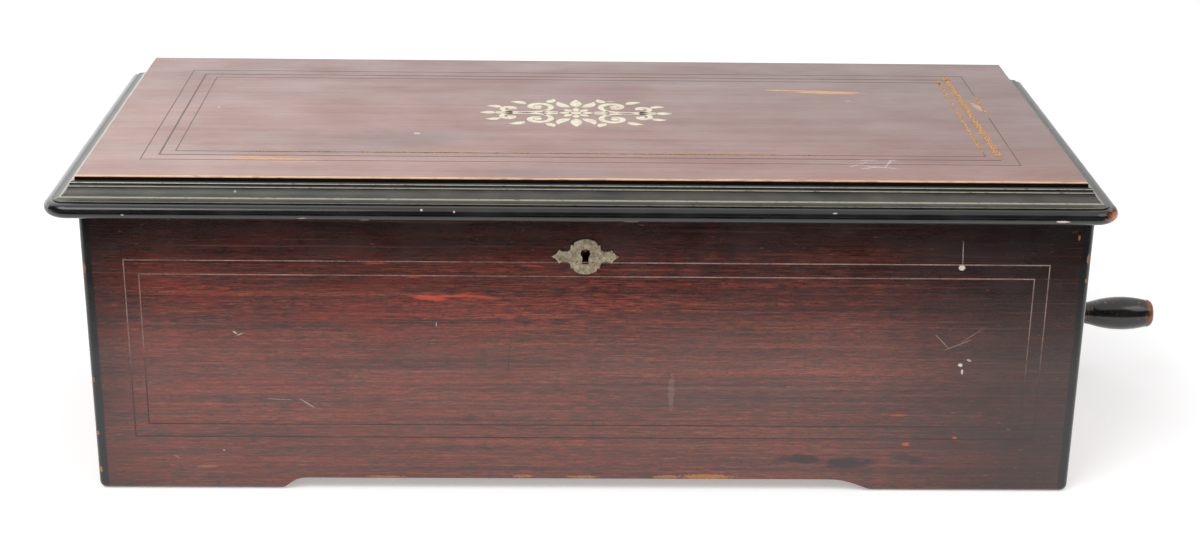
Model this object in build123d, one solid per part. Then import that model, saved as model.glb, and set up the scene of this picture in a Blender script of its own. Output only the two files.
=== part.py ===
from build123d import *
import math
import os

# A hand cranked cylinder musical box: a long case with a hinged lid, and in it a spring
# driven movement with a pinned cylinder, a steel comb and an air-brake governor.
#
# All sizes are in millimetres and in case coordinates: x runs along the case from its
# middle, + towards the crank; y runs from the front face to the back; z is up from the
# surface that the box stands on.

# ---------------------------------------------------------------- driving sizes: case
case_width = 540.0
case_depth = 236.0
case_height = 163.5
front_thickness = 13.0
back_thickness = 13.0
side_thickness = 14.0
bottom_thickness = 10.0
bottom_lift = 9.0
case_edge_round = 3.0
foot_corner_round = 4.0
arch_left_inset = 99.4
arch_right_inset = 108.4
arch_left_run = 15.3
arch_right_run = 26.2
arch_rise = 7.3
arch_slope = 0.35

# lid: one board with a mitred moulding on its front and ends
lid_right_inset = 6.0
lid_front_y = 0.8
lid_thickness = 19.0
lid_edge_round = 0.7
moulding_out = 16.3
nose_start = 11.6
nose_height = 8.0
nose_corner_round = 14.0
cove_top = 16.8
bead_out = 2.3
bead_step = 0.7
bead_top_out = 0.8
bead_shoulder_out = 1.95
bead_shoulder_drop = 0.6
cove_in = 3.0
cove_out = 10.2
cove_bottom = 8.9
cove_rise = 5.5
cove_hollow = 0.9
cove_sag = 1.2
quirk_width = 0.6
quirk_bottom = 7.2

# butt hinges of the lid and of the inner glass lid
hinge_inset = 95.0
hinge_length = 50.0
hinge_leaf = 1.5
hinge_leaf_depth = 11.0
knuckle_radius = 2.6
knuckle_gap = 0.4
knuckle_count = 5
knuckle_root = 1.0
hinge_pin_radius = 1.2
glass_hinge_inset = 110.0
glass_hinge_length = 30.0
glass_hinge_leaf = 1.2
glass_hinge_leaf_depth = 14.0
glass_hinge_leaf_height = 8.0
glass_knuckle_radius = 2.0

# lock, escutcheon and strike, on one centre line
lock_x = -2.0
lock_width = 52.0
lock_height = 34.0
lock_depth = 8.5
lock_wall = 1.2
bolt_width = 26.0
bolt_thickness = 3.0
bolt_height = 22.0
bolt_top_gap = 0.3
bolt_travel = 5.0
bolt_clearance = 0.2
bolt_mortise_clearance = 0.4
bolt_mortise_gap = 1.0
talon_radius = 4.0
strike_width = 56.0
strike_depth = 10.0
strike_thickness = 1.5
keyhole_below_rim = 22.1
keyhole_radius = 2.6
keyhole_slot_width = 3.4
keyhole_drop = 6.0
escutcheon_below_rim = 23.9
escutcheon_thickness = 0.8
escutcheon_lobe = 10.0
escutcheon_reach = 18.0
escutcheon_shoulder_degrees = 53.0
escutcheon_ear_root = 6.2
escutcheon_ear_out = 7.9
escutcheon_ear_top = 6.6
escutcheon_ear_low = 5.0
escutcheon_neck_out = 11.2
escutcheon_neck_half = 2.9
escutcheon_leaf_out = 14.0
escutcheon_leaf_half = 4.0
escutcheon_ear_bow = 0.84
escutcheon_neck_bow = 0.4
escutcheon_leaf_bow = 0.52
key_pin_radius = 0.75

# glazed inner lid and the ledges that it lies on
ledge_height = 10.0
ledge_depth = 8.0
ledge_below_rim = 23.5
ledge_back_gap = 6.0
glass_frame_gap = 1.0
glass_frame_height = 10.0
glass_frame_member = 20.0
glass_thickness = 2.0
glass_groove_depth = 6.0
glass_groove_play = 0.1
glass_groove_lift = 3.4
frame_knob_radius = 5.0
frame_knob_height = 8.0
frame_knob_foot_radius = 4.0
frame_knob_foot_height = 1.0
frame_knob_neck_radius = 2.0
frame_knob_neck_height = 3.6
frame_knob_belly_height = 5.8
frame_knob_top_radius = 2.5

# tune card on the underside of the lid
card_width = 168.0
card_depth = 112.0
card_thickness = 0.6
tack_radius = 2.2
tack_height = 0.8
tack_inset = 6.0

# bedplate on four feet
bed_left_gap = 31.0
bed_right_gap = 4.0
bed_front = 20.0
bed_back = 188.0
bed_below_ledge = 80.0
bed_thickness = 6.0
bed_rim_height = 10.0
bed_rim_width = 5.0
bed_corner_round = 12.0
foot_radius = 9.0
foot_inset = 16.0
bed_bolt_radius = 3.0
bed_bolt_head_radius = 6.0
bed_bolt_head_height = 3.5
bolt_hole_play = 0.3

# running gear: common values
axis_above_bed = 38.0
cylinder_y = 96.0
running_play = 0.05
pivot_radius = 3.0
arbor_radius = 4.5

# cylinder
cylinder_radius = 26.0
cylinder_wall = 1.5
cylinder_left_gap = 30.0
cylinder_right_gap = 16.0
cylinder_end_thickness = 2.5
cylinder_hub_radius = 8.0
cylinder_hub_length = 6.0
drive_pin_radius = 1.5
drive_pin_offset = 17.0
follower_pin_radius = 1.2
follower_offset = 5.3
tune_count = 6
tune_step = 0.42
snail_offset = 14.4
snail_radius = 8.0
snail_base = 1.2
star_setback = 14.0
star_radius = 9.2
star_thickness = 1.0
star_valley_radius = 7.2
snail_gap = 0.4
snail_stud_radius = 1.5
wheel_side_gap = 0.3

# toothed wheels: teeth and module
great_teeth = 66
great_module = 1.0
pinion_teeth = 22
wheel_teeth = 80
wheel_module = 0.6
leaf_teeth = 10
second_wheel_teeth = 50
fine_module = 0.5
worm_wheel_teeth = 30
tooth_addendum = 0.85
tooth_dedendum = 1.15
tooth_play = 0.14
tooth_flank_degrees = 20.0
great_wheel_width = 4.0
pinion_width = 6.0
pinion_lead = 1.0
pinion_hub_radius = 6.0
pinion_hub_gap = 0.5
pinion_arbor_end = 2.0
cylinder_wheel_width = 3.5
leaf_width = 5.5
second_wheel_width = 1.2
second_leaf_overhang = 1.0
worm_wheel_width = 1.6

# spring barrel and winding gear
barrel_radius = 30.0
barrel_wall = 1.5
barrel_length = 38.0
barrel_side_gap = 6.0
spring_outer_gap = 0.5
spring_inner_radius = 10.0
spring_hub_radius = 9.0
spring_side_gap = 2.0
ratchet_teeth = 24
ratchet_radius = 13.0
ratchet_tooth_depth = 2.2
ratchet_width = 3.5
ratchet_gap = 2.5
click_length = 26.0
click_rise = 15.5
click_hub_radius = 3.6
click_stud_radius = 1.6
click_head_radius = 3.0
click_head_height = 1.2
click_side_gap = 0.2
click_width = 3.0
click_play = 0.25
click_tip_height = 3.2
click_back_rise = 6.4
click_belly_rise = 3.0
click_undercut = 3.4
click_undercut_rise = 2.3
click_tail = 3.0
click_tail_top = 1.6
click_tail_low = 0.6
click_spring_gap = 2.2
click_spring_drop = 2.3
click_spring_length = 17.7
click_spring_blade = 0.8
click_spring_knee = 7.0
click_spring_bow = 0.35
click_spring_lean = 6.6
click_spring_block_width = 7.0
click_spring_block_height = 8.0
click_spring_block_lap = 1.0
bush_radius = 13.0
bush_plate = 1.5
bush_tube_radius = 7.0
bush_play = 0.4
crank_gap = 12.0
crank_arm_thickness = 6.0
crank_arm_throw = 46.6
crank_boss_radius = 9.0
crank_eye_radius = 6.5
crank_arm_fullness = 0.8
crank_nut_radius = 6.5
crank_nut_height = 5.0
crank_nut_cover = 1.0
crank_stub_radius = 3.0
handle_length = 61.4
handle_collar_radius = 7.4
handle_collar_lip = 6.7
handle_collar_length = 3.2
handle_neck_start = 3.8
handle_neck_radius = 5.8
handle_swell_start = 24.0
handle_swell_radius = 7.4
handle_belly_at = 44.5
handle_belly_radius = 10.2
handle_shoulder_at = 57.5
handle_shoulder_radius = 8.4
handle_tip_radius = 4.4
handle_tip_round = 1.0
handle_pin_radius = 2.5
handle_pin_depth = 42.0
handle_side_gap = 0.4

# bridges that carry the arbors
bridge_thickness = 8.0
bridge_flange_height = 4.0
bridge_flange_width = 9.0
bridge_boss_radius = 13.0
bridge_side_degrees = 14.0
inner_bridge_gap = 6.0
inner_bridge_spread = 4.0
outer_bridge_inset = 20.0
outer_bridge_half = 30.0
outer_boss_rim = 2.0
outer_boss_gap = 0.4
click_boss_rim = 3.0
left_bridge_inset = 114.0
left_bridge_spread = 6.0
bridge_screw_radius = 3.2
bridge_screw_height = 2.0
bridge_screw_edge = 1.2
screw_slot_width = 0.8
screw_slot_depth = 1.0

# comb
comb_end_gap = 2.4
comb_pitch = 3.4
comb_slot = 0.9
comb_tip_gap = 1.0
comb_heel_depth = 18.0
comb_heel_slope = 3.0
comb_thickness = 4.0
comb_tooth_thickness = 1.7
comb_longest_tooth = 29.0
comb_shortest_tooth = 14.0
comb_length_power = 0.8
comb_tip_width = 1.2
comb_tip_length = 3.0
comb_top_drop = 1.5
comb_screw_count = 9
comb_screw_radius = 3.4
comb_screw_height = 2.4
comb_screw_shank = 1.7
comb_screw_play = 0.2
comb_base_toe = 1.0
comb_base_heel = 8.0
comb_base_flange = 4.0
comb_base_web_rise = 9.0
comb_base_web_inset = 3.0
comb_base_top_inset = 1.0
lead_count = 26
lead_length = 6.0
lead_height = 4.0
lead_least_height = 1.6
lead_setback = 4.0

# governor: two arbors, then an endless screw with an air-brake fly
governor_drop_degrees = 15.6
second_arbor_rise_degrees = 20.0
governor_bridge_gap = 6.5
governor_length = 34.0
governor_plate = 2.5
governor_base_height = 4.0
governor_height = 62.0
governor_cock = 3.0
governor_front_margin = 10.0
governor_back_margin = 9.0
governor_cock_reach = 6.0
governor_neck_reach = 9.0
governor_neck_rise = 12.0
governor_shoulder_reach = 4.0
governor_shoulder_rise = 9.0
first_wheel_inset = 8.5
worm_inset = 13.5
worm_pitch_radius = 2.0
worm_core_radius = 1.3
worm_length = 18.0
fine_arbor_radius = 1.4
fine_pivot_radius = 0.9
fly_radius = 9.5
fly_above_bed = 46.0
fly_height = 13.0
fly_blade = 0.5
fly_hub_radius = 2.0
fly_collar_wall = 1.0
fly_foot_height = 6.0
fly_foot_wall = 1.5
fly_pivot_lift = 1.0
end_cap_radius = 4.0
end_cap_height = 1.5

# stop and change levers in their slotted bracket
lever_pivot_y = 44.0
lever_pivot_height = 13.0
lever_pin_radius = 1.5
lever_thickness = 2.0
lever_hub_radius = 4.5
lever_arm_width = 5.0
lever_arm_top_width = 3.5
lever_height = 46.0
lever_knob_radius = 4.0
lever_tail_width = 3.0
start_lever_inset = 6.0
start_finger_reach = 4.0
start_finger_height = 2.0
start_finger_gap = 0.9
change_lever_gap = 0.4
change_finger_height = 1.6
change_finger_gap = 1.2
change_finger_degrees = 250.0
bracket_depth = 26.0
bracket_height = 32.0
bracket_plate = 1.5
bracket_overhang = 5.5
bracket_slot_front = 9.0
bracket_slot_back = 8.0
bracket_slot_play = 0.8

# ---------------------------------------------------------------- worked-out places
inner_left = -case_width / 2 + side_thickness
inner_right = case_width / 2 - side_thickness
inner_front = front_thickness
inner_back = case_depth - back_thickness
bottom_top = bottom_lift + bottom_thickness

arch_left_foot = -case_width / 2 + arch_left_inset
arch_right_foot = case_width / 2 - arch_right_inset
keyhole_z = case_height - keyhole_below_rim
escutcheon_z = case_height - escutcheon_below_rim

lid_left = -case_width / 2
lid_right = case_width / 2 - lid_right_inset
lid_width = lid_right - lid_left
lid_middle = (lid_left + lid_right) / 2
lid_top = case_height + lid_thickness
hinge_y = case_depth + knuckle_radius + knuckle_gap

ledge_top = case_height - ledge_below_rim
glass_frame_top = ledge_top + glass_frame_height
glass_hinge_y = inner_back - glass_knuckle_radius - knuckle_gap
glass_hinge_z = glass_frame_top + glass_knuckle_radius + knuckle_gap

bed_left = inner_left + bed_left_gap
bed_right = inner_right - bed_right_gap
bed_top = ledge_top - bed_below_ledge
axis_z = bed_top + axis_above_bed

outer_bridge_x = inner_right - outer_bridge_inset
barrel_right = outer_bridge_x - barrel_side_gap
barrel_left = barrel_right - barrel_length
great_wheel_x = barrel_left - great_wheel_width
pinion_x = great_wheel_x - pinion_lead
inner_bridge_x = great_wheel_x - inner_bridge_gap - bridge_thickness
left_bridge_x = inner_left + left_bridge_inset

barrel_y = cylinder_y + great_module * (great_teeth + pinion_teeth) / 2
crank_x = case_width / 2 + crank_gap
handle_x = crank_x + crank_arm_thickness + handle_side_gap
handle_z = axis_z - crank_arm_throw
handle_end = handle_x + handle_length
ratchet_x = outer_bridge_x + bridge_thickness + ratchet_gap
click_tip_y = barrel_y + click_play
click_tip_z = axis_z + ratchet_radius - ratchet_tooth_depth + 2 * click_play
click_y = barrel_y + click_length
click_z = axis_z + click_rise

cylinder_left = left_bridge_x + cylinder_left_gap
cylinder_right = inner_bridge_x - cylinder_right_gap
comb_teeth = round((cylinder_right - cylinder_left - 2 * comb_end_gap) / comb_pitch)
comb_tip_y = cylinder_y - cylinder_radius - comb_tip_gap
comb_top = axis_z - comb_top_drop
comb_width = comb_teeth * comb_pitch
comb_left = (cylinder_left + cylinder_right - comb_width) / 2
comb_right = comb_left + comb_width
comb_root_y = comb_tip_y - comb_longest_tooth
comb_front_y = comb_root_y - comb_heel_depth

star_x = cylinder_left - star_setback
cylinder_wheel_x = star_x - wheel_side_gap - cylinder_wheel_width
change_lever_x = star_x - wheel_side_gap + change_lever_gap
snail_y = cylinder_y + snail_offset

governor_right = left_bridge_x - governor_bridge_gap
governor_left = governor_right - governor_length
governor_top = bed_top + governor_height
governor_first_wheel_x = governor_right - first_wheel_inset
worm_x = governor_left + worm_inset
fly_bottom = bed_top + fly_above_bed
start_lever_x = governor_left + start_lever_inset
lever_pivot_z = bed_top + lever_pivot_height
lever_top = bed_top + lever_height

first_distance = wheel_module * (wheel_teeth + leaf_teeth) / 2
first_y = cylinder_y + first_distance * math.cos(math.radians(governor_drop_degrees))
first_z = axis_z - first_distance * math.sin(math.radians(governor_drop_degrees))
second_distance = fine_module * (second_wheel_teeth + leaf_teeth) / 2
second_y = first_y + second_distance * math.cos(math.radians(second_arbor_rise_degrees))
second_z = first_z + second_distance * math.sin(math.radians(second_arbor_rise_degrees))
worm_wheel_radius = fine_module * worm_wheel_teeth / 2
worm_y = second_y + worm_wheel_radius + worm_pitch_radius

# the part's own origin: middle of the bounding box, at the floor
box_left = lid_left - moulding_out
box_right = handle_end
box_front = lid_front_y - moulding_out
box_back = hinge_y + knuckle_radius
origin_x = (box_left + box_right) / 2
origin_y = (box_front + box_back) / 2


# ---------------------------------------------------------------- small helpers
def block(x0, x1, y0, y1, z0, z1):
    """A box between two corners."""
    middle = Pos((x0 + x1) / 2, (y0 + y1) / 2, (z0 + z1) / 2)
    return middle * Box(x1 - x0, y1 - y0, z1 - z0)


def rod_x(x0, x1, y, z, radius):
    """A round bar along x."""
    return Pos((x0 + x1) / 2, y, z) * Rot(0, 90, 0) * Cylinder(radius, x1 - x0)


def rod_y(y0, y1, x, z, radius):
    """A round bar along y."""
    return Pos(x, (y0 + y1) / 2, z) * Rot(90, 0, 0) * Cylinder(radius, y1 - y0)


def rod_z(z0, z1, x, y, radius):
    """A round bar along z."""
    return Pos(x, y, (z0 + z1) / 2) * Cylinder(radius, z1 - z0)


def across(x):
    """The plane of constant x, with sketch axes y and z."""
    return Plane(origin=(x, 0, 0), x_dir=(0, 1, 0), z_dir=(1, 0, 0))


def plate_x(outline, x, thickness):
    """A sketch in y and z, as thick as given from x on."""
    return extrude(across(x) * outline, amount=thickness)


def polygon(points):
    """A straight-sided face whose normal points up, whichever way its points run."""
    pairs = zip(points, points[1:] + points[:1])
    doubled_area = sum(a[0] * b[1] - b[0] * a[1] for a, b in pairs)
    return Polygon(*(points if doubled_area > 0 else points[::-1]), align=None)


def disc(y, z, radius):
    return Pos(y, z) * Circle(radius)


def polar(y, z, radius, angle):
    return (y + radius * math.cos(angle), z + radius * math.sin(angle))


def toothed_disc(teeth, module, phase, y, z, leaves=False):
    """The outline of a toothed wheel about (y, z), with a tooth centred at the phase angle.

    Leaves are pinion teeth: their flanks run radially below the pitch circle.
    """
    pitch_radius = teeth * module / 2
    tip = pitch_radius + tooth_addendum * module
    root = pitch_radius - tooth_dedendum * module
    half_pitch = pitch_radius * math.pi / (2 * teeth) * (1 - tooth_play)
    slope = math.tan(math.radians(tooth_flank_degrees))
    half_tip = half_pitch - (tip - pitch_radius) * slope
    half_root = half_pitch + (pitch_radius - root) * slope
    if leaves:
        half_root = half_pitch * root / pitch_radius
    flank = [(root, half_root / root), (tip, half_tip / tip)]
    if leaves:
        flank.insert(1, (pitch_radius, half_pitch / pitch_radius))
    points = []
    for tooth in range(teeth):
        centre = phase + tooth * 2 * math.pi / teeth
        points += [polar(y, z, radius, centre - half) for radius, half in flank]
        points += [polar(y, z, radius, centre + half) for radius, half in reversed(flank)]
    return polygon(points)


def meshing_phase(direction, teeth):
    """The phase of a wheel that has a gap, not a tooth, in this direction."""
    return direction + math.pi / teeth


def saw_disc(teeth, radius, depth, y, z, phase):
    """A ratchet's outline: steep faces look against the winding turn."""
    points = []
    for tooth in range(teeth):
        angle = phase + tooth * 2 * math.pi / teeth
        points.append(polar(y, z, radius - depth, angle))
        points.append(polar(y, z, radius, angle))
    return polygon(points)


# ---------------------------------------------------------------- case
def front_board():
    """The front, with its foot arch, the lock's mortise and the keyhole."""
    half = case_width / 2
    left_top = arch_left_foot + arch_left_run
    right_top = arch_right_foot - arch_right_run
    with BuildPart() as board:
        with BuildSketch(Plane.XZ):
            with BuildLine():
                Line((-half, case_height), (-half, foot_corner_round))
                RadiusArc(
                    (-half, foot_corner_round), (-half + foot_corner_round, 0), -foot_corner_round
                )
                Line((-half + foot_corner_round, 0), (arch_left_foot, 0))
                Spline(
                    (arch_left_foot, 0),
                    (left_top, arch_rise),
                    tangents=[(1, arch_slope), (1, 0)],
                )
                Line((left_top, arch_rise), (right_top, arch_rise))
                Spline(
                    (right_top, arch_rise),
                    (arch_right_foot, 0),
                    tangents=[(1, 0), (1, -arch_slope)],
                )
                Line((arch_right_foot, 0), (half - foot_corner_round, 0))
                RadiusArc(
                    (half - foot_corner_round, 0), (half, foot_corner_round), -foot_corner_round
                )
                Line((half, foot_corner_round), (half, case_height))
                Line((half, case_height), (-half, case_height))
            make_face()
        extrude(amount=-front_thickness)
    board = board.part
    corners = board.edges().filter_by(Axis.Z).group_by(Axis.Y)[0]
    board = fillet(corners, case_edge_round)
    board -= lock_block(0)
    slot = block(
        lock_x - keyhole_slot_width / 2,
        lock_x + keyhole_slot_width / 2,
        0,
        front_thickness,
        keyhole_z - keyhole_drop,
        keyhole_z,
    )
    return board - slot - rod_y(0, front_thickness, lock_x, keyhole_z, keyhole_radius)


def hinge_recess(inset, side):
    """The shallow housing of one hinge leaf, above or below the joint."""
    low = case_height - (hinge_leaf if side < 0 else 0)
    boxes = Part()
    for x in hinge_places(inset):
        boxes += block(
            x - hinge_length / 2,
            x + hinge_length / 2,
            case_depth - hinge_leaf_depth,
            case_depth,
            low,
            low + hinge_leaf,
        )
    return boxes


def hinge_places(inset):
    return (-case_width / 2 + inset, case_width / 2 - inset)


def back_board():
    """The plain back, housed for the lid's hinges."""
    board = block(-case_width / 2, case_width / 2, inner_back, case_depth, 0, case_height)
    corners = board.edges().filter_by(Axis.Z).group_by(Axis.Y)[-1]
    return fillet(corners, case_edge_round) - hinge_recess(hinge_inset, -1)


def left_board():
    return block(-case_width / 2, inner_left, inner_front, inner_back, 0, case_height)


def right_board():
    """The crank end, bored for the winding bush."""
    board = block(inner_right, case_width / 2, inner_front, inner_back, 0, case_height)
    return board - rod_x(inner_right, case_width / 2, barrel_y, axis_z, bush_tube_radius)


def bed_feet_places():
    xs = (bed_left + foot_inset, bed_right - foot_inset)
    ys = (bed_front + foot_inset, bed_back - foot_inset)
    return [(x, y) for x in xs for y in ys]


def bottom_board():
    """The floor of the case, bored for the bolts of the bedplate."""
    board = block(inner_left, inner_right, inner_front, inner_back, bottom_lift, bottom_top)
    for x, y in bed_feet_places():
        board -= rod_z(bottom_lift, bottom_top, x, y, bed_bolt_radius + bolt_hole_play)
    return board


def glass_lid_ledges():
    """Ledges along the front and both ends, under the glazed lid."""
    low = ledge_top - ledge_height
    front = block(inner_left, inner_right, inner_front, inner_front + ledge_depth, low, ledge_top)
    start = inner_front + ledge_depth
    end = glass_hinge_y - ledge_back_gap
    left = block(inner_left, inner_left + ledge_depth, start, end, low, ledge_top)
    right = block(inner_right - ledge_depth, inner_right, start, end, low, ledge_top)
    return [front, left, right]


# ---------------------------------------------------------------- lid
def lid_board():
    """The lid's board, rubbed round along its top, housed for hinges and strike."""
    board = block(lid_left, lid_right, lid_front_y, case_depth, case_height, lid_top)
    board = fillet(board.faces().sort_by(Axis.Z)[-1].edges(), lid_edge_round)
    board -= hinge_recess(hinge_inset, 1)
    board -= strike_block()
    return board - bolt_block(bolt_mortise_clearance, case_height + bolt_travel + bolt_mortise_gap)


def cove_face(plane):
    """The moulding's inner part: bead, cove and the fillet beside the quirk."""
    rim = case_height
    bead_low = rim + cove_bottom + cove_rise + bead_step
    middle = ((cove_in + cove_out) / 2, rim + cove_bottom + cove_rise / 2)
    with BuildSketch(plane) as section:
        with BuildLine():
            Line((0, rim), (0, rim + cove_top))
            Line((0, rim + cove_top), (bead_top_out, rim + cove_top))
            ThreePointArc(
                (bead_top_out, rim + cove_top),
                (bead_shoulder_out, rim + cove_top - bead_shoulder_drop),
                (bead_out, bead_low),
            )
            Line((bead_out, bead_low), (cove_in, rim + cove_bottom + cove_rise))
            ThreePointArc(
                (cove_in, rim + cove_bottom + cove_rise),
                (middle[0] - cove_hollow, middle[1] - cove_sag),
                (cove_out, rim + cove_bottom),
            )
            Line((cove_out, rim + cove_bottom), (nose_start - quirk_width, rim + cove_bottom))
            Line(
                (nose_start - quirk_width, rim + cove_bottom),
                (nose_start - quirk_width, rim + quirk_bottom),
            )
            Line((nose_start - quirk_width, rim + quirk_bottom), (nose_start, rim + quirk_bottom))
            Line((nose_start, rim + quirk_bottom), (nose_start, rim))
            Line((nose_start, rim), (0, rim))
        make_face()
    return section.sketch


def nose_face(plane, shift=0.0):
    """The moulding's half-round nose, its back at nose_start."""
    radius = nose_height / 2
    start = nose_start - shift
    centre = moulding_out - radius - shift
    rim = case_height
    with BuildSketch(plane) as section:
        with BuildLine():
            Line((start, rim), (start, rim + nose_height))
            Line((start, rim + nose_height), (centre, rim + nose_height))
            ThreePointArc(
                (centre, rim + nose_height), (centre + radius, rim + radius), (centre, rim)
            )
            Line((centre, rim), (start, rim))
        make_face()
    return section.sketch


def run_planes():
    """Section planes of the front, left and right runs, each with its length."""
    front = Plane(
        origin=(lid_right + moulding_out, lid_front_y, 0), x_dir=(0, -1, 0), z_dir=(-1, 0, 0)
    )
    left = Plane(
        origin=(lid_left, lid_front_y - moulding_out, 0), x_dir=(-1, 0, 0), z_dir=(0, 1, 0)
    )
    right = Plane(origin=(lid_right, case_depth, 0), x_dir=(1, 0, 0), z_dir=(0, -1, 0))
    side_length = case_depth - lid_front_y + moulding_out
    return (
        (front, lid_width + 2 * moulding_out),
        (left, side_length),
        (right, side_length),
    )


def nose_ring():
    """The nose along three sides, turned round the two front corners."""
    reach = nose_corner_round
    left_x = lid_left - moulding_out + reach
    right_x = lid_right + moulding_out - reach
    corner_y = lid_front_y - moulding_out + reach
    front, left, right = [run[0] for run in run_planes()]
    ring = extrude(nose_face(front.offset(reach)), amount=right_x - left_x)
    ring += extrude(nose_face(left.offset(reach)), amount=case_depth - corner_y)
    ring += extrude(nose_face(right), amount=case_depth - corner_y)
    shift = moulding_out - reach
    for x, start in ((left_x, 180), (right_x, 270)):
        spoke = Plane(
            origin=(x, corner_y, 0),
            x_dir=(math.cos(math.radians(start)), math.sin(math.radians(start)), 0),
            z_dir=(math.sin(math.radians(start)), -math.cos(math.radians(start)), 0),
        )
        ring += revolve(nose_face(spoke, shift), Axis((x, corner_y, 0), (0, 0, 1)), 90)
    return ring


def mouldings():
    """The front and the two end mouldings, mitred at the front corners."""
    reach = 2 * moulding_out
    trim_round = nose_corner_round - (moulding_out - nose_start)
    plan = Rectangle(lid_width + 2 * nose_start, 2 * case_depth)
    plan = fillet(plan.vertices().group_by(Axis.Y)[0], trim_round)
    lift = Pos(lid_middle, lid_front_y - nose_start + case_depth, case_height)
    trim = lift * extrude(plan, amount=lid_thickness)
    front_corner = lid_front_y
    sectors = (
        [
            (lid_left, front_corner),
            (lid_left - reach, front_corner - reach),
            (lid_right + reach, front_corner - reach),
            (lid_right, front_corner),
        ],
        [
            (lid_left, front_corner),
            (lid_left, case_depth),
            (lid_left - reach, case_depth),
            (lid_left - reach, front_corner - reach),
        ],
        [
            (lid_right, front_corner),
            (lid_right + reach, front_corner - reach),
            (lid_right + reach, case_depth),
            (lid_right, case_depth),
        ],
    )
    ring = nose_ring()
    pieces = []
    for (plane, length), corners in zip(run_planes(), sectors):
        run = extrude(cove_face(plane), amount=length)
        sector = Pos(0, 0, case_height) * extrude(polygon(corners), amount=lid_thickness)
        pieces.append(((run & trim) + ring) & sector)
    return pieces


def strike_block():
    """The plate in the lid over the lock, before its slot is cut."""
    y = lock_depth_middle() - strike_depth / 2
    return block(
        lock_x - strike_width / 2,
        lock_x + strike_width / 2,
        y,
        y + strike_depth,
        case_height,
        case_height + strike_thickness,
    )


def strike_plate():
    """The plate in the lid that the bolt rises into."""
    return strike_block() - bolt_block(bolt_clearance, case_height + bolt_travel)


def tune_card():
    """A bare card under the lid, where the tunes are listed."""
    x = lid_middle
    y = (inner_front + inner_back) / 2
    return block(
        x - card_width / 2,
        x + card_width / 2,
        y - card_depth / 2,
        y + card_depth / 2,
        case_height - card_thickness,
        case_height,
    )


def card_tacks():
    tacks = []
    y_middle = (inner_front + inner_back) / 2
    for side in (-1, 1):
        for end in (-1, 1):
            x = lid_middle + side * (card_width / 2 - tack_inset)
            y = y_middle + end * (card_depth / 2 - tack_inset)
            low = case_height - card_thickness - tack_height
            tacks.append(rod_z(low, case_height - card_thickness, x, y, tack_radius))
    return tacks


# ---------------------------------------------------------------- hinges
def knuckles(centre_x, length, y, z, radius, bore, first):
    """Every second knuckle of a hinge, from the first given, bored for its pin."""
    step = length / knuckle_count
    rolls = []
    for index in range(first, knuckle_count, 2):
        x0 = centre_x - length / 2 + index * step + knuckle_gap / 2
        x1 = x0 + step - knuckle_gap
        rolls.append((x0, x1, rod_x(x0, x1, y, z, radius) - rod_x(x0, x1, y, z, bore)))
    return rolls


def lid_hinge_leaves(side, first):
    """The two leaves on one side of the joint, let in and rolled round the pin."""
    leaves = []
    low = case_height - (hinge_leaf if side < 0 else 0)
    bore = rod_x(-case_width, case_width, hinge_y, case_height, hinge_pin_radius + running_play)
    for x in hinge_places(hinge_inset):
        half = hinge_length / 2
        leaf = block(
            x - half, x + half, case_depth - hinge_leaf_depth, case_depth, low, low + hinge_leaf
        )
        rolls = knuckles(
            x, hinge_length, hinge_y, case_height, knuckle_radius, hinge_pin_radius, first
        )
        for x0, x1, roll in rolls:
            leaf += block(x0, x1, case_depth - knuckle_root, hinge_y, low, low + hinge_leaf) + roll
        leaves.append(leaf - bore)
    return leaves


def hinge_pins():
    """The four pins: two of the lid's hinges and two of the glazed lid's."""
    pins = []
    for inset, length, y, z in (
        (hinge_inset, hinge_length, hinge_y, case_height),
        (glass_hinge_inset, glass_hinge_length, glass_hinge_y, glass_hinge_z),
    ):
        for x in hinge_places(inset):
            pins.append(rod_x(x - length / 2, x + length / 2, y, z, hinge_pin_radius))
    return pins


def glass_hinge_case_leaves():
    """The upright leaves on the inside of the back."""
    leaves = []
    y, z = glass_hinge_y, glass_hinge_z
    bore = rod_x(-case_width, case_width, y, z, hinge_pin_radius + running_play)
    for x in hinge_places(glass_hinge_inset):
        half = glass_hinge_length / 2
        leaf = block(
            x - half,
            x + half,
            inner_back - glass_hinge_leaf,
            inner_back,
            z + glass_knuckle_radius,
            z + glass_knuckle_radius + glass_hinge_leaf_height,
        )
        rolls = knuckles(
            x, glass_hinge_length, y, z, glass_knuckle_radius, hinge_pin_radius, 0
        )
        for x0, x1, roll in rolls:
            top = z + glass_knuckle_radius + knuckle_root
            leaf += block(x0, x1, inner_back - glass_hinge_leaf, inner_back, z, top) + roll
        leaves.append(leaf - bore)
    return leaves


def glass_hinge_frame_leaves():
    """The flat leaves on top of the glazed frame."""
    leaves = []
    y, z = glass_hinge_y, glass_hinge_z
    bore = rod_x(-case_width, case_width, y, z, hinge_pin_radius + running_play)
    for x in hinge_places(glass_hinge_inset):
        half = glass_hinge_length / 2
        edge = y - glass_knuckle_radius - knuckle_gap
        leaf = block(
            x - half,
            x + half,
            edge - glass_hinge_leaf_depth,
            edge,
            glass_frame_top,
            glass_frame_top + glass_hinge_leaf,
        )
        rolls = knuckles(
            x, glass_hinge_length, y, z, glass_knuckle_radius, hinge_pin_radius, 1
        )
        for x0, x1, roll in rolls:
            low = glass_frame_top
            leaf += block(x0, x1, edge - knuckle_root, y, low, low + glass_hinge_leaf) + roll
        leaves.append(leaf - bore)
    return leaves


# ---------------------------------------------------------------- lock and escutcheon
def lock_depth_middle():
    return front_thickness - lock_depth / 2


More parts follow.
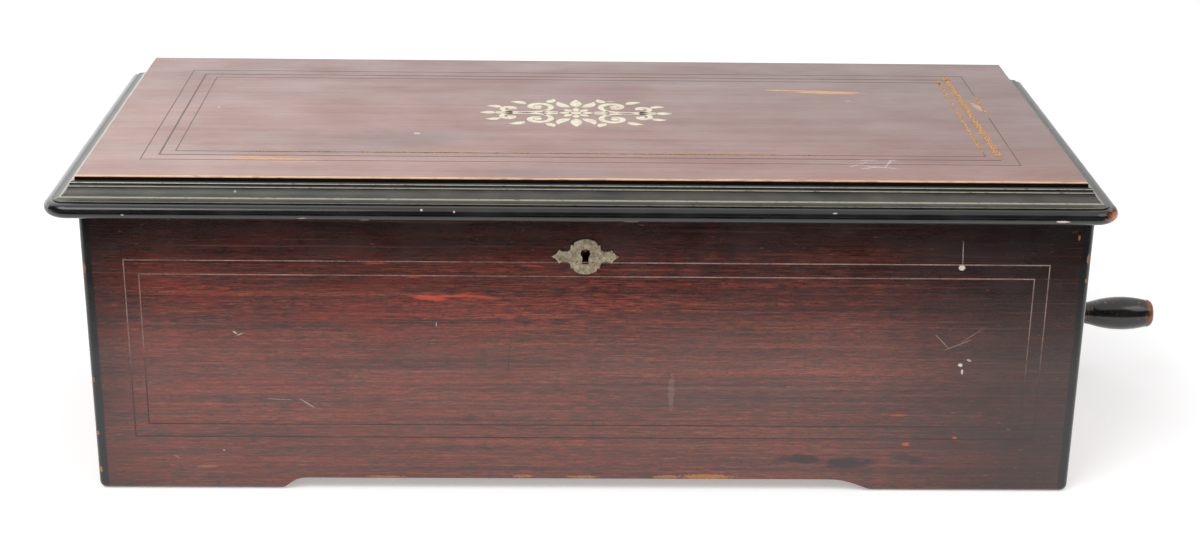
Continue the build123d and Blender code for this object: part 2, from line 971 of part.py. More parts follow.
def lock_block(inset):
    """The lock's case, or with an inset the space in it."""
    return block(
        lock_x - lock_width / 2 + inset,
        lock_x + lock_width / 2 - inset,
        front_thickness - lock_depth + inset,
        front_thickness - inset,
        case_height - lock_height + inset,
        case_height - inset,
    )


def bolt_block(clearance, top):
    """The bolt's section with a clearance all round, up to this height."""
    y = lock_depth_middle()
    return block(
        lock_x - bolt_width / 2 - clearance,
        lock_x + bolt_width / 2 + clearance,
        y - bolt_thickness / 2 - clearance,
        y + bolt_thickness / 2 + clearance,
        top - bolt_height,
        top,
    )


def lock_case():
    """A thin brass box let into the front board, slotted for bolt and key."""
    shell = lock_block(0) - lock_block(lock_wall) - bolt_block(bolt_clearance, case_height)
    wall_back = front_thickness - lock_depth + lock_wall
    wall_front = front_thickness - lock_depth
    slot = block(
        lock_x - keyhole_slot_width / 2,
        lock_x + keyhole_slot_width / 2,
        wall_front,
        wall_back,
        keyhole_z - keyhole_drop,
        keyhole_z,
    )
    shell -= slot + rod_y(wall_front, wall_back, lock_x, keyhole_z, keyhole_radius)
    pin_end = front_thickness - lock_wall
    return shell + rod_y(wall_front, pin_end, lock_x, keyhole_z, key_pin_radius)


def lock_bolt():
    """The rising bolt: down at rest, so the lid opens."""
    bolt = bolt_block(0, case_height - bolt_top_gap)
    talon = rod_y(
        0, front_thickness, lock_x, case_height - bolt_top_gap - bolt_height, talon_radius
    )
    return bolt - talon


def hollow_arc(start, end, bow):
    """An arc that dips by this bow to the right of the line from start to end."""
    run_x, run_y = end[0] - start[0], end[1] - start[1]
    length = math.hypot(run_x, run_y)
    middle_x = (start[0] + end[0]) / 2 + run_y / length * bow
    middle_y = (start[1] + end[1]) / 2 - run_x / length * bow
    return ThreePointArc(start, (middle_x, middle_y), end)


def escutcheon():
    """The keyhole plate: a round lobe between four square ears and two leaf points."""
    lobe = escutcheon_lobe
    angle = math.radians(escutcheon_shoulder_degrees)
    shoulder = polar(0, 0, lobe, angle)
    ear_top = (escutcheon_ear_out, escutcheon_ear_top)
    ear_low = (escutcheon_ear_out, escutcheon_ear_low)
    neck = (escutcheon_neck_out, escutcheon_neck_half)
    leaf = (escutcheon_leaf_out, escutcheon_leaf_half)
    with BuildSketch(Plane.XZ) as face:
        with BuildLine() as line:
            ThreePointArc((0, lobe), polar(0, 0, lobe, (angle + math.pi / 2) / 2), shoulder)
            Polyline(shoulder, (escutcheon_ear_root, escutcheon_ear_top), ear_top, ear_low)
            hollow_arc(ear_low, neck, escutcheon_ear_bow)
            hollow_arc(neck, leaf, escutcheon_neck_bow)
            hollow_arc(leaf, (escutcheon_reach, 0), escutcheon_leaf_bow)
            mirror(line.line, about=Plane.YZ)
            mirror(line.line, about=Plane.XZ)
        make_face()
    plate = extrude(face.sketch, amount=escutcheon_thickness)
    plate = Pos(lock_x, 0, escutcheon_z) * plate
    front = -escutcheon_thickness
    slot = block(
        lock_x - keyhole_slot_width / 2,
        lock_x + keyhole_slot_width / 2,
        front,
        0,
        keyhole_z - keyhole_drop,
        keyhole_z,
    )
    return plate - slot - rod_y(front, 0, lock_x, keyhole_z, keyhole_radius)


# ---------------------------------------------------------------- glazed lid
def glass_frame():
    """Four members round the glass, grooved for it."""
    x0 = inner_left + glass_frame_gap
    x1 = inner_right - glass_frame_gap
    y0 = inner_front + glass_frame_gap
    y1 = inner_back - glass_frame_gap
    member = glass_frame_member
    frame = block(x0, x1, y0, y1, ledge_top, glass_frame_top)
    frame -= block(x0 + member, x1 - member, y0 + member, y1 - member, ledge_top, glass_frame_top)
    return frame - glass_block(glass_groove_play)


def glass_block(play):
    """The glass, or with a play the groove that it lies in."""
    edge = glass_frame_gap + glass_frame_member - glass_groove_depth - play
    return block(
        inner_left + edge,
        inner_right - edge,
        inner_front + edge,
        inner_back - edge,
        ledge_top + glass_groove_lift - play,
        ledge_top + glass_groove_lift + glass_thickness + play,
    )


def frame_knob():
    """A small turned knob on the front member."""
    y = inner_front + glass_frame_gap + glass_frame_member / 2
    foot, neck, top = frame_knob_foot_radius, frame_knob_neck_radius, frame_knob_top_radius
    flare = frame_knob_foot_height + foot - neck
    with BuildSketch(Plane.XZ) as section:
        with BuildLine():
            Polyline((0, 0), (foot, 0), (foot, frame_knob_foot_height), (neck, flare))
            Line((neck, flare), (neck, frame_knob_neck_height))
            ThreePointArc(
                (neck, frame_knob_neck_height),
                (frame_knob_radius, frame_knob_belly_height),
                (top, frame_knob_height),
            )
            Polyline((top, frame_knob_height), (0, frame_knob_height), (0, 0))
        make_face()
    return Pos(lock_x, y, glass_frame_top) * revolve(section.sketch, Axis.Z)


# ---------------------------------------------------------------- bedplate
def bedplate():
    """The cast bedplate: a flanged plate on four round feet."""
    width = bed_right - bed_left
    depth = bed_back - bed_front
    centre = Pos((bed_left + bed_right) / 2, (bed_front + bed_back) / 2, 0)
    outline = RectangleRounded(width, depth, bed_corner_round)
    inner = RectangleRounded(
        width - 2 * bed_rim_width, depth - 2 * bed_rim_width, bed_corner_round - bed_rim_width
    )
    plate = Pos(0, 0, bed_top - bed_thickness) * extrude(outline, amount=bed_thickness)
    rim = Pos(0, 0, bed_top - bed_thickness - bed_rim_height) * extrude(
        outline - inner, amount=bed_rim_height
    )
    bed = centre * (plate + rim)
    for x, y in bed_feet_places():
        bed += rod_z(bottom_top, bed_top - bed_thickness, x, y, foot_radius)
        bed -= rod_z(bottom_top, bed_top, x, y, bed_bolt_radius + bolt_hole_play)
    return bed


def bed_bolts():
    """Bolts from under the case into the feet, with round heads."""
    bolts = []
    for x, y in bed_feet_places():
        shank = rod_z(bottom_lift, bed_top, x, y, bed_bolt_radius)
        head = rod_z(bottom_lift - bed_bolt_head_height, bottom_lift, x, y, bed_bolt_head_radius)
        bolts.append(shank + head)
    return bolts


# ---------------------------------------------------------------- bridges
def upright(x, thickness, bosses, foot_half_width):
    """A cast bridge: a plate spread from its foot to a boss round each bore."""
    middle = sum(y for y, radius in bosses) / len(bosses)
    low_left = (middle - foot_half_width, bed_top)
    low_right = (middle + foot_half_width, bed_top)
    outline = Sketch()
    for y, radius in bosses:
        outline += disc(y, axis_z, radius)
    first, last = bosses[0], bosses[-1]
    lean = math.radians(bridge_side_degrees)
    outline += polygon(
        [
            low_left,
            low_right,
            polar(last[0], axis_z, last[1], -lean),
            (last[0], axis_z + last[1]),
            (first[0], axis_z + first[1]),
            polar(first[0], axis_z, first[1], math.pi + lean),
        ]
    )
    return plate_x(outline, x, thickness)


def bridge_flange(x0, x1, middle, half_width):
    """The foot of a bridge, along the bedplate."""
    return block(
        x0, x1, middle - half_width, middle + half_width, bed_top, bed_top + bridge_flange_height
    )


def inner_bridge():
    """Between cylinder and barrel: it carries an end of both arbors."""
    x0 = inner_bridge_x
    x1 = x0 + bridge_thickness
    bosses = [(cylinder_y, bridge_boss_radius), (barrel_y, bridge_boss_radius)]
    middle = (cylinder_y + barrel_y) / 2
    half = inner_bridge_half()
    bridge = upright(x0, bridge_thickness, bosses, half)
    bridge += bridge_flange(x0 - bridge_flange_width, x1, middle, half)
    bridge -= rod_x(x0, x1, cylinder_y, axis_z, pivot_radius + running_play)
    return bridge - rod_x(x0, x1, barrel_y, axis_z, pivot_radius + running_play)


def inner_bridge_half():
    return (barrel_y - cylinder_y) / 2 + bridge_boss_radius + inner_bridge_spread


def outer_bridge():
    """Outside the barrel: it carries the winding arbor, the click and its spring."""
    x0 = outer_bridge_x
    x1 = x0 + bridge_thickness
    half = outer_bridge_half
    ratchet_boss = ratchet_radius + outer_boss_rim
    click_boss = click_hub_radius + click_boss_rim
    outline = Sketch()
    outline += disc(barrel_y, axis_z, ratchet_boss)
    outline += disc(click_y, click_z, click_boss)
    outline += polygon(
        [
            (barrel_y - half, bed_top),
            (barrel_y + half, bed_top),
            (click_y + click_boss, click_z),
            (click_y, click_z + click_boss),
            (barrel_y, axis_z + ratchet_boss),
            (barrel_y - ratchet_boss, axis_z),
        ]
    )
    bridge = plate_x(outline, x0, bridge_thickness)
    bridge += bridge_flange(x0 - bridge_flange_width, x1, barrel_y, half)
    collar = arbor_radius + outer_boss_rim
    bridge += rod_x(x1, ratchet_x - outer_boss_gap, barrel_y, axis_z, collar)
    bridge -= rod_x(x0, ratchet_x, barrel_y, axis_z, arbor_radius + running_play)
    return bridge + click_stud()


def left_bridge():
    """The bridge at the governor's end of the cylinder arbor."""
    x0 = left_bridge_x
    x1 = x0 + bridge_thickness
    half = left_bridge_half()
    bridge = upright(x0, bridge_thickness, [(cylinder_y, bridge_boss_radius)], half)
    bridge += bridge_flange(x0, x1 + bridge_flange_width / 2, cylinder_y, half)
    return bridge - rod_x(x0, x1, cylinder_y, axis_z, pivot_radius + running_play)


def left_bridge_half():
    return bridge_boss_radius + left_bridge_spread


def bridge_screws():
    """Slotted cheese heads on the feet of the inner and the outer bridge."""
    places = []
    middle = (cylinder_y + barrel_y) / 2
    edge = bridge_screw_radius + bridge_screw_edge
    for side in (-1, 1):
        flange_x = inner_bridge_x - bridge_flange_width / 2
        places.append((flange_x, middle + side * (inner_bridge_half() - edge)))
        flange_x = outer_bridge_x - bridge_flange_width / 2
        places.append((flange_x, barrel_y + side * (outer_bridge_half - edge)))
    screws = []
    low = bed_top + bridge_flange_height
    high = low + bridge_screw_height
    for x, y in places:
        head = rod_z(low, high, x, y, bridge_screw_radius)
        screws.append(head - screw_slot(x, y, bridge_screw_radius, screw_slot_width / 2, high))
    return screws


def screw_slot(x, y, half_x, half_y, top):
    """The driver's slot across a screw head, with the half sizes given."""
    return block(x - half_x, x + half_x, y - half_y, y + half_y, top - screw_slot_depth, top)


# ---------------------------------------------------------------- cylinder
def cylinder_arbor():
    """The steel arbor, turned down to a pivot at each end."""
    end = pinion_x + pinion_width + pinion_arbor_end
    left = left_bridge_x + bridge_thickness + running_play
    arbor = rod_x(left, inner_bridge_x - running_play, cylinder_y, axis_z, arbor_radius)
    return arbor + rod_x(left_bridge_x, end, cylinder_y, axis_z, pivot_radius)


def cylinder_pinion():
    """The pinion that the great wheel drives."""
    phase = meshing_phase(0, pinion_teeth)
    outline = toothed_disc(pinion_teeth, great_module, phase, cylinder_y, axis_z, leaves=True)
    pinion = plate_x(outline, pinion_x, pinion_width)
    hub_start = inner_bridge_x + bridge_thickness + pinion_hub_gap
    pinion += rod_x(hub_start, pinion_x, cylinder_y, axis_z, pinion_hub_radius)
    return pinion - rod_x(hub_start, pinion_x + pinion_width, cylinder_y, axis_z, pivot_radius)


def cylinder_wheel():
    """The wheel that drives the governor, with the cylinder's driving pin."""
    x0 = cylinder_wheel_x
    x1 = x0 + cylinder_wheel_width
    phase = -math.radians(governor_drop_degrees)
    wheel = plate_x(toothed_disc(wheel_teeth, wheel_module, phase, cylinder_y, axis_z), x0, x1 - x0)
    pin_y = cylinder_y - drive_pin_offset
    wheel += rod_x(x1, cylinder_left + cylinder_end_thickness, pin_y, axis_z, drive_pin_radius)
    stud_end = star_x + snail_base + tune_count * tune_step
    wheel += rod_x(x1, stud_end, snail_y, axis_z, snail_stud_radius)
    return wheel - rod_x(x0, x1, cylinder_y, axis_z, arbor_radius)


def cylinder_shell():
    """The brass cylinder, a plain tube that carries the pins."""
    x0, x1 = cylinder_left, cylinder_right
    bore = rod_x(x0, x1, cylinder_y, axis_z, cylinder_radius - cylinder_wall)
    return rod_x(x0, x1, cylinder_y, axis_z, cylinder_radius) - bore


def cylinder_end(x0, hub_side):
    """One end disc, with a hub inwards that slides on the arbor."""
    x1 = x0 + cylinder_end_thickness
    hub0, hub1 = (x1, x1 + cylinder_hub_length) if hub_side > 0 else (x0 - cylinder_hub_length, x0)
    end = rod_x(x0, x1, cylinder_y, axis_z, cylinder_radius - cylinder_wall)
    end += rod_x(hub0, hub1, cylinder_y, axis_z, cylinder_hub_radius)
    return end - rod_x(min(x0, hub0), max(x1, hub1), cylinder_y, axis_z, arbor_radius + running_play)


def cylinder_end_left():
    """The end towards the snail: it has the follower pin and the driving hole."""
    end = cylinder_end(cylinder_left, 1)
    tip = star_x + snail_base + snail_gap
    end += rod_x(tip, cylinder_left, snail_y + follower_offset, axis_z, follower_pin_radius)
    hole = rod_x(
        cylinder_left,
        cylinder_left + cylinder_end_thickness,
        cylinder_y - drive_pin_offset,
        axis_z,
        drive_pin_radius + running_play,
    )
    return end - hole


def cylinder_end_right():
    return cylinder_end(cylinder_right - cylinder_end_thickness, -1)


def tune_snail():
    """The stepped snail and its star: each step shifts the cylinder one tune."""
    pitch = 2 * math.pi / tune_count
    points = []
    for point in range(tune_count):
        angle = (point + 0.5) * pitch
        points.append(polar(snail_y, axis_z, star_radius, angle))
        points.append(polar(snail_y, axis_z, star_valley_radius, angle + pitch / 2))
    bore = disc(snail_y, axis_z, snail_stud_radius + running_play)
    snail = plate_x(polygon(points) - bore, star_x, star_thickness)
    top = star_x + star_thickness
    snail += plate_x(disc(snail_y, axis_z, snail_radius) - bore, top, snail_base - star_thickness)
    top = star_x + snail_base
    for step in range(1, tune_count):
        start = pitch / 2
        end = (tune_count - step + 0.5) * pitch
        snail += plate_x(snail_sector(start, end) - bore, top, tune_step)
        top += tune_step
    return snail


def snail_sector(start, end):
    """A sector of the snail about its own centre, between two angles."""
    reach = 2 * snail_radius
    count = tune_count
    fan = [
        polar(snail_y, axis_z, reach, start + (end - start) * index / count)
        for index in range(count + 1)
    ]
    return disc(snail_y, axis_z, snail_radius) & polygon([(snail_y, axis_z)] + fan)


# ---------------------------------------------------------------- barrel and winding
def spring_barrel():
    """The drum, one end of it cut with the great wheel's teeth."""
    x0 = great_wheel_x
    wheel = plate_x(
        toothed_disc(great_teeth, great_module, math.pi, barrel_y, axis_z), x0, great_wheel_width
    )
    drum = rod_x(barrel_left, barrel_right, barrel_y, axis_z, barrel_radius)
    space = rod_x(barrel_left, barrel_right, barrel_y, axis_z, barrel_radius - barrel_wall)
    bore = rod_x(x0, barrel_left, barrel_y, axis_z, arbor_radius + running_play)
    return wheel + (drum - space) - bore


def barrel_cover():
    """The cover that closes the drum, sprung into its mouth."""
    x0 = barrel_right - barrel_wall
    cover = rod_x(x0, barrel_right, barrel_y, axis_z, barrel_radius - barrel_wall)
    return cover - rod_x(x0, barrel_right, barrel_y, axis_z, arbor_radius + running_play)


def mainspring():
    """The wound mainspring, as the closed ring that its coils fill."""
    x0 = barrel_left + spring_side_gap / 2
    x1 = barrel_right - barrel_wall - spring_side_gap / 2
    outer = barrel_radius - barrel_wall - spring_outer_gap
    coils = rod_x(x0, x1, barrel_y, axis_z, outer)
    return coils - rod_x(x0, x1, barrel_y, axis_z, spring_inner_radius)


def winding_arbor():
    """The winding arbor: pivot, spring hub, and the shank that leaves the case."""
    left = inner_bridge_x
    body = inner_bridge_x + bridge_thickness + running_play
    arm_end = crank_x + crank_arm_thickness
    arbor = rod_x(left, body, barrel_y, axis_z, pivot_radius)
    arbor += rod_x(body, arm_end, barrel_y, axis_z, arbor_radius)
    hub0 = barrel_left + spring_side_gap
    hub1 = barrel_right - barrel_wall - spring_side_gap
    arbor += rod_x(hub0, hub1, barrel_y, axis_z, spring_hub_radius)
    stub_end = arm_end + crank_nut_height - crank_nut_cover
    return arbor + rod_x(arm_end, stub_end, barrel_y, axis_z, crank_stub_radius)


def ratchet_wheel():
    """The ratchet on the arbor, outside its bridge."""
    outline = saw_disc(
        ratchet_teeth, ratchet_radius, ratchet_tooth_depth, barrel_y, axis_z, math.pi / 2
    )
    wheel = plate_x(outline, ratchet_x, ratchet_width)
    return wheel - rod_x(ratchet_x, ratchet_x + ratchet_width, barrel_y, axis_z, arbor_radius)


def click():
    """The pawl: its tip stands in a tooth and its tail lies against the spring."""
    x0 = ratchet_x
    hub = disc(click_y, click_z, click_hub_radius)
    middle_y = click_tip_y + click_length / 2
    body = polygon(
        [
            (click_tip_y, click_tip_z),
            (click_tip_y, click_tip_z + click_tip_height),
            (middle_y, click_tip_z + click_back_rise),
            (click_y, click_z + click_hub_radius),
            (click_y, click_z - click_hub_radius),
            (middle_y, click_tip_z + click_belly_rise),
            (click_tip_y + click_undercut, click_tip_z + click_undercut_rise),
        ]
    )
    tail_y = click_y + click_hub_radius + click_tail
    tail = polygon(
        [
            (click_y, click_z + click_hub_radius),
            (tail_y, click_z + click_tail_top),
            (tail_y, click_z - click_tail_low),
            (click_y, click_z - click_hub_radius),
        ]
    )
    pawl = plate_x(hub + body + tail, x0, click_width)
    bore = click_stud_radius + running_play
    return pawl - rod_x(x0, x0 + click_width, click_y, click_z, bore)


def click_stud():
    """The shouldered screw that the click swings on."""
    x0 = outer_bridge_x + bridge_thickness
    x1 = ratchet_x + click_width + click_side_gap
    stud = rod_x(x0, x1, click_y, click_z, click_stud_radius)
    stud += rod_x(x0, ratchet_x - click_side_gap, click_y, click_z, click_hub_radius)
    return stud + rod_x(x1, x1 + click_head_height, click_y, click_z, click_head_radius)


def click_spring():
    """A flat spring from a block on the bridge up to the click's tail."""
    half = click_spring_blade / 2
    tip_y = click_y + click_hub_radius + click_spring_gap
    tip_z = click_z - click_spring_drop
    knee_y, knee_z = tip_y + click_spring_bow, tip_z - click_spring_knee
    foot_y, foot_z = tip_y - click_spring_lean, tip_z - click_spring_length
    blade = polygon(
        [
            (foot_y - half, foot_z),
            (foot_y + half, foot_z),
            (knee_y + half, knee_z),
            (tip_y + half, tip_z),
            (tip_y - half, tip_z),
            (knee_y - half, knee_z),
        ]
    )
    block_top = foot_z + click_spring_block_lap
    spring_block = block(
        outer_bridge_x + bridge_thickness,
        ratchet_x + click_width,
        foot_y - click_spring_block_width / 2,
        foot_y + click_spring_block_width / 2,
        block_top - click_spring_block_height,
        block_top,
    )
    return plate_x(blade, ratchet_x, click_width) + spring_block


def winding_bush():
    """The brass bush in the case end, with its round plate outside."""
    x0 = inner_right
    x1 = case_width / 2
    bush = rod_x(x0, x1, barrel_y, axis_z, bush_tube_radius)
    bush += rod_x(x1, x1 + bush_plate, barrel_y, axis_z, bush_radius)
    return bush - rod_x(x0, x1 + bush_plate, barrel_y, axis_z, arbor_radius + bush_play)


def crank_arm():
    """The arm, tapered from its boss down to the handle's eye, with the riveted handle pin."""
    top, low = axis_z, handle_z
    boss, eye = crank_boss_radius, crank_eye_radius
    outline = disc(barrel_y, top, boss) + disc(barrel_y, low, eye)
    outline += polygon(
        [
            (barrel_y - boss * crank_arm_fullness, top),
            (barrel_y - eye * crank_arm_fullness, low),
            (barrel_y + eye * crank_arm_fullness, low),
            (barrel_y + boss * crank_arm_fullness, top),
        ]
    )
    arm = plate_x(outline, crank_x, crank_arm_thickness)
    arm += rod_x(crank_x, handle_x + handle_pin_depth, barrel_y, handle_z, handle_pin_radius)
    return arm - rod_x(crank_x, crank_x + crank_arm_thickness, barrel_y, axis_z, arbor_radius)


def crank_nut():
    """A domed nut on the end of the arbor."""
    x0 = crank_x + crank_arm_thickness
    nut = Pos(x0, barrel_y, axis_z) * Rot(0, 90, 0) * extrude(
        RegularPolygon(crank_nut_radius, 6), amount=crank_nut_height
    )
    stub_end = x0 + crank_nut_height - crank_nut_cover
    return nut - rod_x(x0, stub_end, barrel_y, axis_z, crank_stub_radius)


def crank_handle():
    """The turned handle: a beaded collar, a slim neck and a swelling grip."""
    collar, lip, neck = handle_collar_radius, handle_collar_lip, handle_neck_radius
    neck_middle = (handle_neck_start + handle_swell_start) / 2
    tip_middle = (handle_shoulder_at + handle_length) / 2 + handle_tip_round
    tip_middle_radius = (handle_shoulder_radius + handle_tip_radius) / 2 + handle_tip_round
    shoulder = (handle_shoulder_at, handle_shoulder_radius)
    with BuildSketch(Plane.XY) as section:
        with BuildLine():
            Polyline((0, 0), (0, lip), (handle_collar_length / 2, collar))
            Polyline((handle_collar_length / 2, collar), (handle_collar_length, lip))
            Line((handle_collar_length, lip), (handle_neck_start, neck))
            ThreePointArc(
                (handle_neck_start, neck),
                (neck_middle, neck),
                (handle_swell_start, handle_swell_radius),
            )
            ThreePointArc(
                (handle_swell_start, handle_swell_radius),
                (handle_belly_at, handle_belly_radius),
                shoulder,
            )
            ThreePointArc(
                shoulder, (tip_middle, tip_middle_radius), (handle_length, handle_tip_radius)
            )
            Polyline((handle_length, handle_tip_radius), (handle_length, 0), (0, 0))
        make_face()
    grip = Pos(handle_x, barrel_y, handle_z) * revolve(section.sketch, Axis.X)
    bore_end = handle_x + handle_pin_depth + running_play
    return grip - rod_x(handle_x, bore_end, barrel_y, handle_z, handle_pin_radius + running_play)


# ---------------------------------------------------------------- comb
def tooth_length(index):
    """Bass teeth on the left are long and treble teeth on the right short."""
    share = index / (comb_teeth - 1)
    shortening = comb_longest_tooth - comb_shortest_tooth
    return comb_longest_tooth - shortening * share**comb_length_power


def comb():
    """The steel comb: a thick heel, and teeth that taper to a row of tips."""
    points = [(comb_right, comb_front_y), (comb_left, comb_front_y)]
    half_slot = comb_slot / 2
    for index in range(comb_teeth):
        x0 = comb_left + index * comb_pitch + half_slot
        x1 = x0 + comb_pitch - comb_slot
        middle = (x0 + x1) / 2
        root = comb_tip_y - tooth_length(index)
        taper = comb_tip_y - comb_tip_length
        if index == 0:
            points.append((comb_left, root))
        points += [(x0, root), (x0, taper), (middle - comb_tip_width / 2, comb_tip_y)]
        points += [(middle + comb_tip_width / 2, comb_tip_y), (x1, taper), (x1, root)]
    points.append((comb_right, root))
    plan = Pos(0, 0, comb_top - comb_thickness) * extrude(polygon(points), amount=comb_thickness)
    heel_back = comb_front_y + comb_heel_depth
    below = polygon(
        [
            (heel_back, comb_top - comb_thickness),
            (comb_tip_y + 1, comb_top - comb_thickness),
            (comb_tip_y + 1, comb_top - comb_tooth_thickness),
            (heel_back + comb_heel_slope, comb_top - comb_tooth_thickness),
        ]
    )
    plate = plan - plate_x(below, comb_left, comb_width)
    for x in comb_screw_places():
        y = comb_front_y + comb_heel_depth / 2
        plate -= rod_z(comb_top - comb_thickness, comb_top, x, y, comb_screw_shank + comb_screw_play)
    return plate + comb_leads()


def comb_screw_places():
    step = comb_width / comb_screw_count
    return [comb_left + (index + 0.5) * step for index in range(comb_screw_count)]


def comb_screws():
    """Domed screws along the comb's heel."""
    screws = []
    y = comb_front_y + comb_heel_depth / 2
    high = comb_top + comb_screw_height
    for x in comb_screw_places():
        screw = rod_z(comb_top, high, x, y, comb_screw_radius)
        screw += rod_z(comb_top - comb_thickness, comb_top, x, y, comb_screw_shank)
        screws.append(screw - screw_slot(x, y, screw_slot_width / 2, comb_screw_radius, high))
    return screws


def comb_base():
    """The cast bar under the comb's heel, flanged along the bedplate."""
    top = comb_top - comb_thickness
    heel = comb_front_y + comb_heel_depth
    outline = polygon(
        [
            (comb_front_y - comb_base_toe, bed_top),
            (heel + comb_base_heel, bed_top),
            (heel + comb_base_heel, bed_top + comb_base_flange),
            (heel - comb_base_web_inset, bed_top + comb_base_web_rise),
            (heel - comb_base_top_inset, top),
            (comb_front_y, top),
        ]
    )
    return plate_x(outline, comb_left, comb_width)


def comb_leads():
    """Lead weights under the tips of the bass teeth, heavier towards the bass."""
    leads = Part()
    top = comb_top - comb_tooth_thickness
    half = (comb_pitch - comb_slot) / 2
    back = comb_tip_y - lead_setback
    for index in range(lead_count):
        x = comb_left + (index + 0.5) * comb_pitch
        height = lead_height - (lead_height - lead_least_height) * index / lead_count
        leads += block(x - half, x + half, back - lead_length, back, top - height, top)
    return leads


# ---------------------------------------------------------------- governor
def governor_frame():
    """The governor's casting: a foot and two uprights."""
    front, back = first_y - governor_front_margin, worm_y + governor_back_margin
    foot_top = bed_top + governor_base_height
    frame = block(governor_left, governor_right, front, back, bed_top, foot_top)
    outline = polygon(
        [
            (front, bed_top),
            (back, bed_top),
            (back, governor_top),
            (worm_y - governor_cock_reach, governor_top),
            (worm_y - governor_neck_reach, second_z + governor_neck_rise),
            (first_y - governor_shoulder_reach, first_z + governor_shoulder_rise),
            (front, first_z),
        ]
    )
    frame += plate_x(outline, governor_left, governor_plate)
    frame += plate_x(outline, governor_right - governor_plate, governor_plate)
    post_top = foot_top + fly_foot_height
    frame += rod_z(foot_top, post_top, worm_x, worm_y, fly_hub_radius + fly_foot_wall)
    bore = fine_pivot_radius + running_play
    for y, z in ((first_y, first_z), (second_y, second_z)):
        frame -= rod_x(governor_left, governor_right, y, z, bore)
    return frame - rod_z(foot_top, post_top, worm_x, worm_y, bore)


def governor_cock_plate():
    """The cock over the fly's upper pivot."""
    low, high = governor_top, governor_top + governor_cock
    front, back = worm_y - governor_cock_reach, worm_y + governor_back_margin
    cock = block(governor_left, governor_right, front, back, low, high)
    return cock - rod_z(low, high, worm_x, worm_y, fine_pivot_radius + running_play)


def end_cap():
    """The cap that takes the fly's end thrust."""
    low = governor_top + governor_cock
    return rod_z(low, low + end_cap_height, worm_x, worm_y, end_cap_radius)


def first_arbor():
    """The governor's first arbor, with the leaves that the cylinder wheel drives."""
    direction = math.pi - math.radians(governor_drop_degrees)
    phase = meshing_phase(direction, leaf_teeth)
    x0 = cylinder_wheel_x + cylinder_wheel_width - leaf_width
    outline = toothed_disc(leaf_teeth, wheel_module, phase, first_y, first_z, leaves=True)
    leaves = plate_x(outline, x0, leaf_width)
    shoulder = governor_right + running_play
    arbor = leaves + rod_x(shoulder, x0, first_y, first_z, fine_arbor_radius)
    inner0 = governor_left + governor_plate + running_play
    inner1 = governor_right - governor_plate - running_play
    arbor += rod_x(inner0, inner1, first_y, first_z, fine_arbor_radius)
    return arbor + rod_x(governor_left, x0, first_y, first_z, fine_pivot_radius)


def second_direction():
    return math.radians(second_arbor_rise_degrees)


def first_wheel():
    """The wheel on the first arbor."""
    x0 = governor_first_wheel_x
    outline = toothed_disc(
        second_wheel_teeth, fine_module, second_direction(), first_y, first_z
    )
    return plate_x(outline, x0, second_wheel_width)


def second_arbor():
    """The second arbor, with its leaves."""
    phase = meshing_phase(second_direction() + math.pi, leaf_teeth)
    x0 = governor_first_wheel_x - second_leaf_overhang
    outline = toothed_disc(leaf_teeth, fine_module, phase, second_y, second_z, leaves=True)
    inner0 = governor_left + governor_plate + running_play
    inner1 = governor_right - governor_plate - running_play
    arbor = plate_x(outline, x0, second_wheel_width + 2 * second_leaf_overhang)
    arbor += rod_x(inner0, inner1, second_y, second_z, fine_arbor_radius)
    return arbor + rod_x(governor_left, governor_right, second_y, second_z, fine_pivot_radius)


def worm_wheel():
    """The wheel that drives the endless screw."""
    x0 = worm_x - worm_wheel_width / 2
    outline = toothed_disc(worm_wheel_teeth, fine_module, 0, second_y, second_z)
    return plate_x(outline, x0, worm_wheel_width)


def fly():
    """The upright arbor with the endless screw's core, and the two vanes on it."""
    low = bed_top + governor_base_height
    shoulder0 = low + fly_foot_height + running_play
    shoulder1 = governor_top - running_play
    middle = second_z
    pivot_top = governor_top + governor_cock - running_play
    arbor = rod_z(low + fly_pivot_lift, pivot_top, worm_x, worm_y, fine_pivot_radius)
    arbor += rod_z(shoulder0, middle - worm_length / 2, worm_x, worm_y, fly_hub_radius)
    arbor += rod_z(
        middle - worm_length / 2, middle + worm_length / 2, worm_x, worm_y, worm_core_radius
    )
    arbor += rod_z(middle + worm_length / 2, shoulder1, worm_x, worm_y, fly_hub_radius)
    return arbor + fly_vanes()


def fly_vanes():
    """Two thin vanes on a collar: the air brake."""
    top = fly_bottom + fly_height
    collar = rod_z(fly_bottom, top, worm_x, worm_y, fly_hub_radius + fly_collar_wall)
    vane = block(
        worm_x - fly_radius,
        worm_x + fly_radius,
        worm_y - fly_blade / 2,
        worm_y + fly_blade / 2,
        fly_bottom,
        top,
    )
    return collar + vane


# ---------------------------------------------------------------- levers
def bracket_span():
    left = start_lever_x - bracket_overhang
    right = change_lever_x + lever_thickness + bracket_overhang
    return left, right


def lever_bracket():
    """A folded brass bracket, with a slot for each lever and the pin that they swing on."""
    left, right = bracket_span()
    y0 = lever_pivot_y - bracket_depth / 2
    y1 = lever_pivot_y + bracket_depth / 2
    top = bed_top + bracket_height
    bracket = block(left, right, y0, y1, bed_top, top)
    bracket -= block(
        left + bracket_plate, right - bracket_plate, y0, y1, bed_top, top - bracket_plate
    )
    for x in (start_lever_x, change_lever_x):
        bracket -= block(
            x - bracket_slot_play,
            x + lever_thickness + bracket_slot_play,
            lever_pivot_y - bracket_slot_front,
            lever_pivot_y + bracket_slot_back,
            top - bracket_plate,
            top,
        )
    return bracket + rod_x(left, right, lever_pivot_y, lever_pivot_z, lever_pin_radius)


